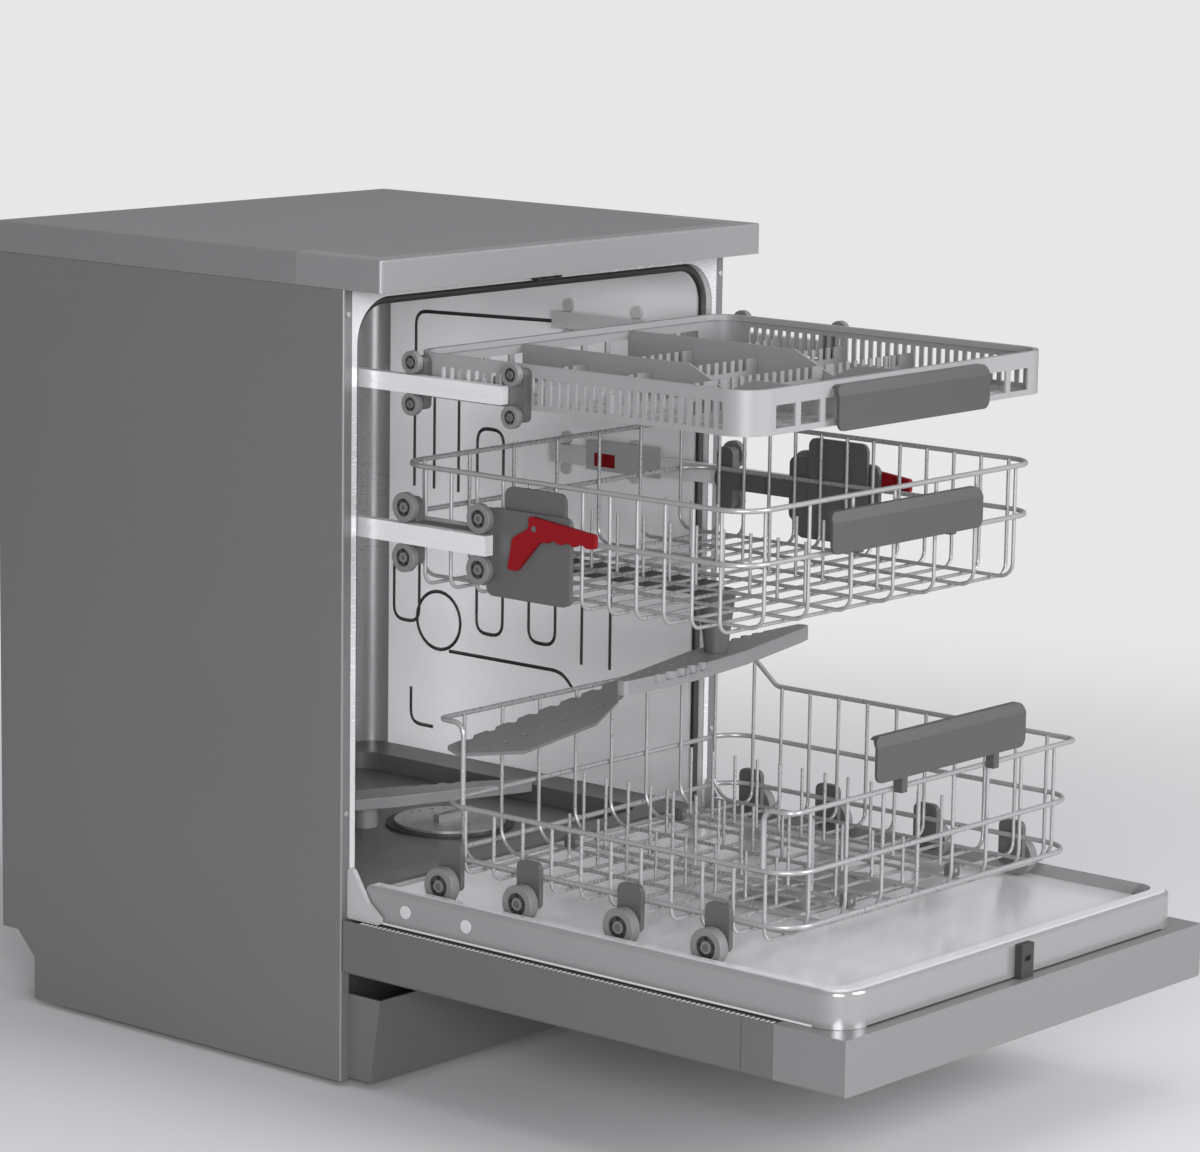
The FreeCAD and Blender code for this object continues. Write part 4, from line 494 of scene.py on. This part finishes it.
def makeDoorSeam():
    low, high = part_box("door_liner")
    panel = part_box("door_outer_panel")[1]
    play, corner, edge = doorSeam["play"], doorSeam["corner"], doorSeam["edge"]
    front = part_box("control_fascia")[1].y + play
    top = panel.z - doorSeam["sink"]
    outer = panel.x - doorSeam["panelWall"] - play
    strip, ribs, foot = bmesh.new(), bmesh.new(), bmesh.new()
    for side in (-1, 1):
        near, far = sorted((side * (high.x + play), side * outer))
        addBox(strip, (near, front, top - doorSeam["thickness"]), (far, high.y, top), edge)
        near, far = sorted((side * (outer - seamRibs["length"]), side * outer))
        for index in range(int((high.y - front) / seamRibs["pitch"])):
            y = front + seamRibs["pitch"] * index + seamRibs["width"]
            addBox(ribs, (near, y, top - play), (far, y + seamRibs["width"], top + seamRibs["height"]),
                   seamRibs["edge"])
        x = side * (high.x + linerFoot["radius"] / 2)
        z = panel.z + linerFoot["radius"]
        addBead(foot, [Vector((x, high.y, z)), Vector((x, low.y + corner, z))], linerFoot["radius"])
    addBox(strip, (low.x + corner, low.y - doorSeam["frontProud"], panel.z + doorSeam["frontFoot"]),
           (high.x - corner, low.y + doorSeam["frontSink"], panel.z + doorSeam["frontHead"]), edge)
    addPiece("doorSeam", strip, finishes["gasket"], "cabinet")
    addPiece("doorSeamRibs", ribs, finishes["guide"], "cabinet")
    addPiece("linerFoot", foot, finishes["rail"], "cabinet")


# dark window of the display and two small lamps in the fascia
displayGlass = {"centre": 0.15, "row": 0.04, "length": 0.083, "width": 0.017, "recess": 0.0002, "back": 0.0007,
                "edge": 0.0001}
fasciaLamps = {"offset": 0.022, "recess": 0.0002, "radius": 0.0014, "depth": 0.0006, "edge": 0.0001}


def makeDisplay():
    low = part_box("control_fascia")[0]
    row = low.y + displayGlass["row"]
    half, width = displayGlass["length"] / 2, displayGlass["width"] / 2
    glass, lamps = bmesh.new(), bmesh.new()
    addBox(glass, (displayGlass["centre"] - half, row - width, low.z + displayGlass["recess"]),
           (displayGlass["centre"] + half, row + width, low.z + displayGlass["back"]), displayGlass["edge"])
    for name in ("button_power", "button_start"):
        buttonLow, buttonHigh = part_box(name)
        middle = (buttonLow + buttonHigh) / 2
        inward = -1 if middle.x > 0 else 1
        centre = Vector((middle.x + inward * fasciaLamps["offset"], row, low.z + fasciaLamps["recess"]))
        addDisc(lamps, centre, (0, 0, -1), fasciaLamps["radius"], fasciaLamps["depth"], fasciaLamps["edge"])
    addPiece("displayGlass", glass, finishes["display"], "cabinet")
    addPiece("fasciaLamps", lamps, finishes["guide"], "cabinet")


makeWallBeads()
makeEdgeScrews()
makeLinerPlugs()
makeRailBracket()
makeDoorSeam()
makeDisplay()
print("tub beads, screws, plugs, bracket, seam and display added")

# floor, lights and camera
floorLook = {"size": 60, "base": grey(0.47), "tint": grey(0.49), "rough": (0.9, 0.95), "scale": 20,
             "far": grey(0.8), "fadeStart": 1.0, "fadeEnd": 2.6}
worldLook = {"colour": (0.86, 0.855, 0.885, 1), "strength": 0.5}
lampLook = {"colour": (0.975, 0.965, 1.0), "aim": (0, 0, 0.4)}
studioLamps = [
    {"name": "keySoftbox", "place": (1.6, -4.6, 2.4), "size": 2.6, "power": 300},
    {"name": "leftFill", "place": (-4.2, -4.0, 1.5), "size": 2.4, "power": 430},
    {"name": "overhead", "place": (0.0, -0.4, 4.2), "size": 3.0, "power": 50},
]
# the photograph's viewpoint, measured from the panel fronts and the floor
photoCamera = {"place": (-3.407, -2.9813, 1.2896), "yaw": 0.866, "pitch": 0.174, "roll": 0.015,
               "focalPixels": 4367.7, "imageWidth": 1200, "sensorWidth": 36}


def makeFloorFinish():
    # plain floor near the object, one flat pale tone for the camera further away
    material = makeFinish("paleFloor", floorLook["base"], floorLook["tint"], floorLook["rough"],
                          scale=floorLook["scale"])
    tree = material.node_tree
    coords = addNode(tree, "TexCoord")
    reach = addNode(tree, "VectorMath", "LENGTH")
    tree.links.new(coords.outputs["Object"], reach.inputs[0])
    fade = addRamp(tree, reach.outputs["Value"], floorLook["fadeStart"], floorLook["fadeEnd"])
    fade.interpolation_type = "SMOOTHSTEP"
    seen = addNode(tree, "Math", "MULTIPLY")
    tree.links.new(fade.outputs["Result"], seen.inputs[0])
    tree.links.new(addNode(tree, "LightPath").outputs["Is Camera Ray"], seen.inputs[1])
    pale = addNode(tree, "Emission")
    pale.inputs["Color"].default_value = floorLook["far"]
    mix = addNode(tree, "MixShader")
    tree.links.new(seen.outputs[0], mix.inputs["Fac"])
    tree.links.new(tree.nodes["Principled BSDF"].outputs["BSDF"], mix.inputs[1])
    tree.links.new(pale.outputs["Emission"], mix.inputs[2])
    tree.links.new(mix.outputs["Shader"], tree.nodes["Material Output"].inputs["Surface"])
    return material


def makeFloor():
    mesh = bmesh.new()
    bmesh.ops.create_grid(mesh, x_segments=1, y_segments=1, size=floorLook["size"])
    data = bpy.data.meshes.new("studioFloor")
    mesh.to_mesh(data)
    mesh.free()
    floor = bpy.data.objects.new("studioFloor", data)
    bpy.context.scene.collection.objects.link(floor)
    dress(floor, makeFloorFinish())


def makeWorld():
    world = bpy.data.worlds.new("studioWorld")
    world.use_nodes = True
    back = world.node_tree.nodes["Background"]
    back.inputs["Color"].default_value = worldLook["colour"]
    back.inputs["Strength"].default_value = worldLook["strength"]
    bpy.context.scene.world = world


def makeLamp(look):
    data = bpy.data.lights.new(look["name"], "AREA")
    data.size = look["size"]
    data.energy = look["power"]
    data.color = lampLook["colour"]
    lamp = bpy.data.objects.new(look["name"], data)
    lamp.location = look["place"]
    lamp.rotation_mode = "QUATERNION"
    lamp.rotation_quaternion = (Vector(lampLook["aim"]) - Vector(look["place"])).to_track_quat("-Z", "Y")
    bpy.context.scene.collection.objects.link(lamp)


def makeCamera():
    yaw, pitch, roll = photoCamera["yaw"], photoCamera["pitch"], photoCamera["roll"]
    ahead = Vector((math.sin(yaw) * math.cos(pitch), math.cos(yaw) * math.cos(pitch), -math.sin(pitch)))
    level = Vector((math.cos(yaw), -math.sin(yaw), 0))
    above = level.cross(ahead)
    right = level * math.cos(roll) + above * math.sin(roll)
    up = above * math.cos(roll) - level * math.sin(roll)
    data = bpy.data.cameras.new("photoCamera")
    data.sensor_fit = "HORIZONTAL"
    data.sensor_width = photoCamera["sensorWidth"]
    data.lens = photoCamera["sensorWidth"] * photoCamera["focalPixels"] / photoCamera["imageWidth"]
    camera = bpy.data.objects.new("photoCamera", data)
    x, y, z = photoCamera["place"]
    turn = Matrix((right, up, -ahead)).transposed().to_4x4()
    camera.matrix_world = Matrix.Translation((x, frontY + y, z)) @ turn
    bpy.context.scene.collection.objects.link(camera)
    bpy.context.scene.camera = camera


makeFloor()
makeWorld()
for look in studioLamps:
    makeLamp(look)
makeCamera()
bpy.context.scene.view_settings.view_transform = "Standard"
print("stage, lights and camera set")
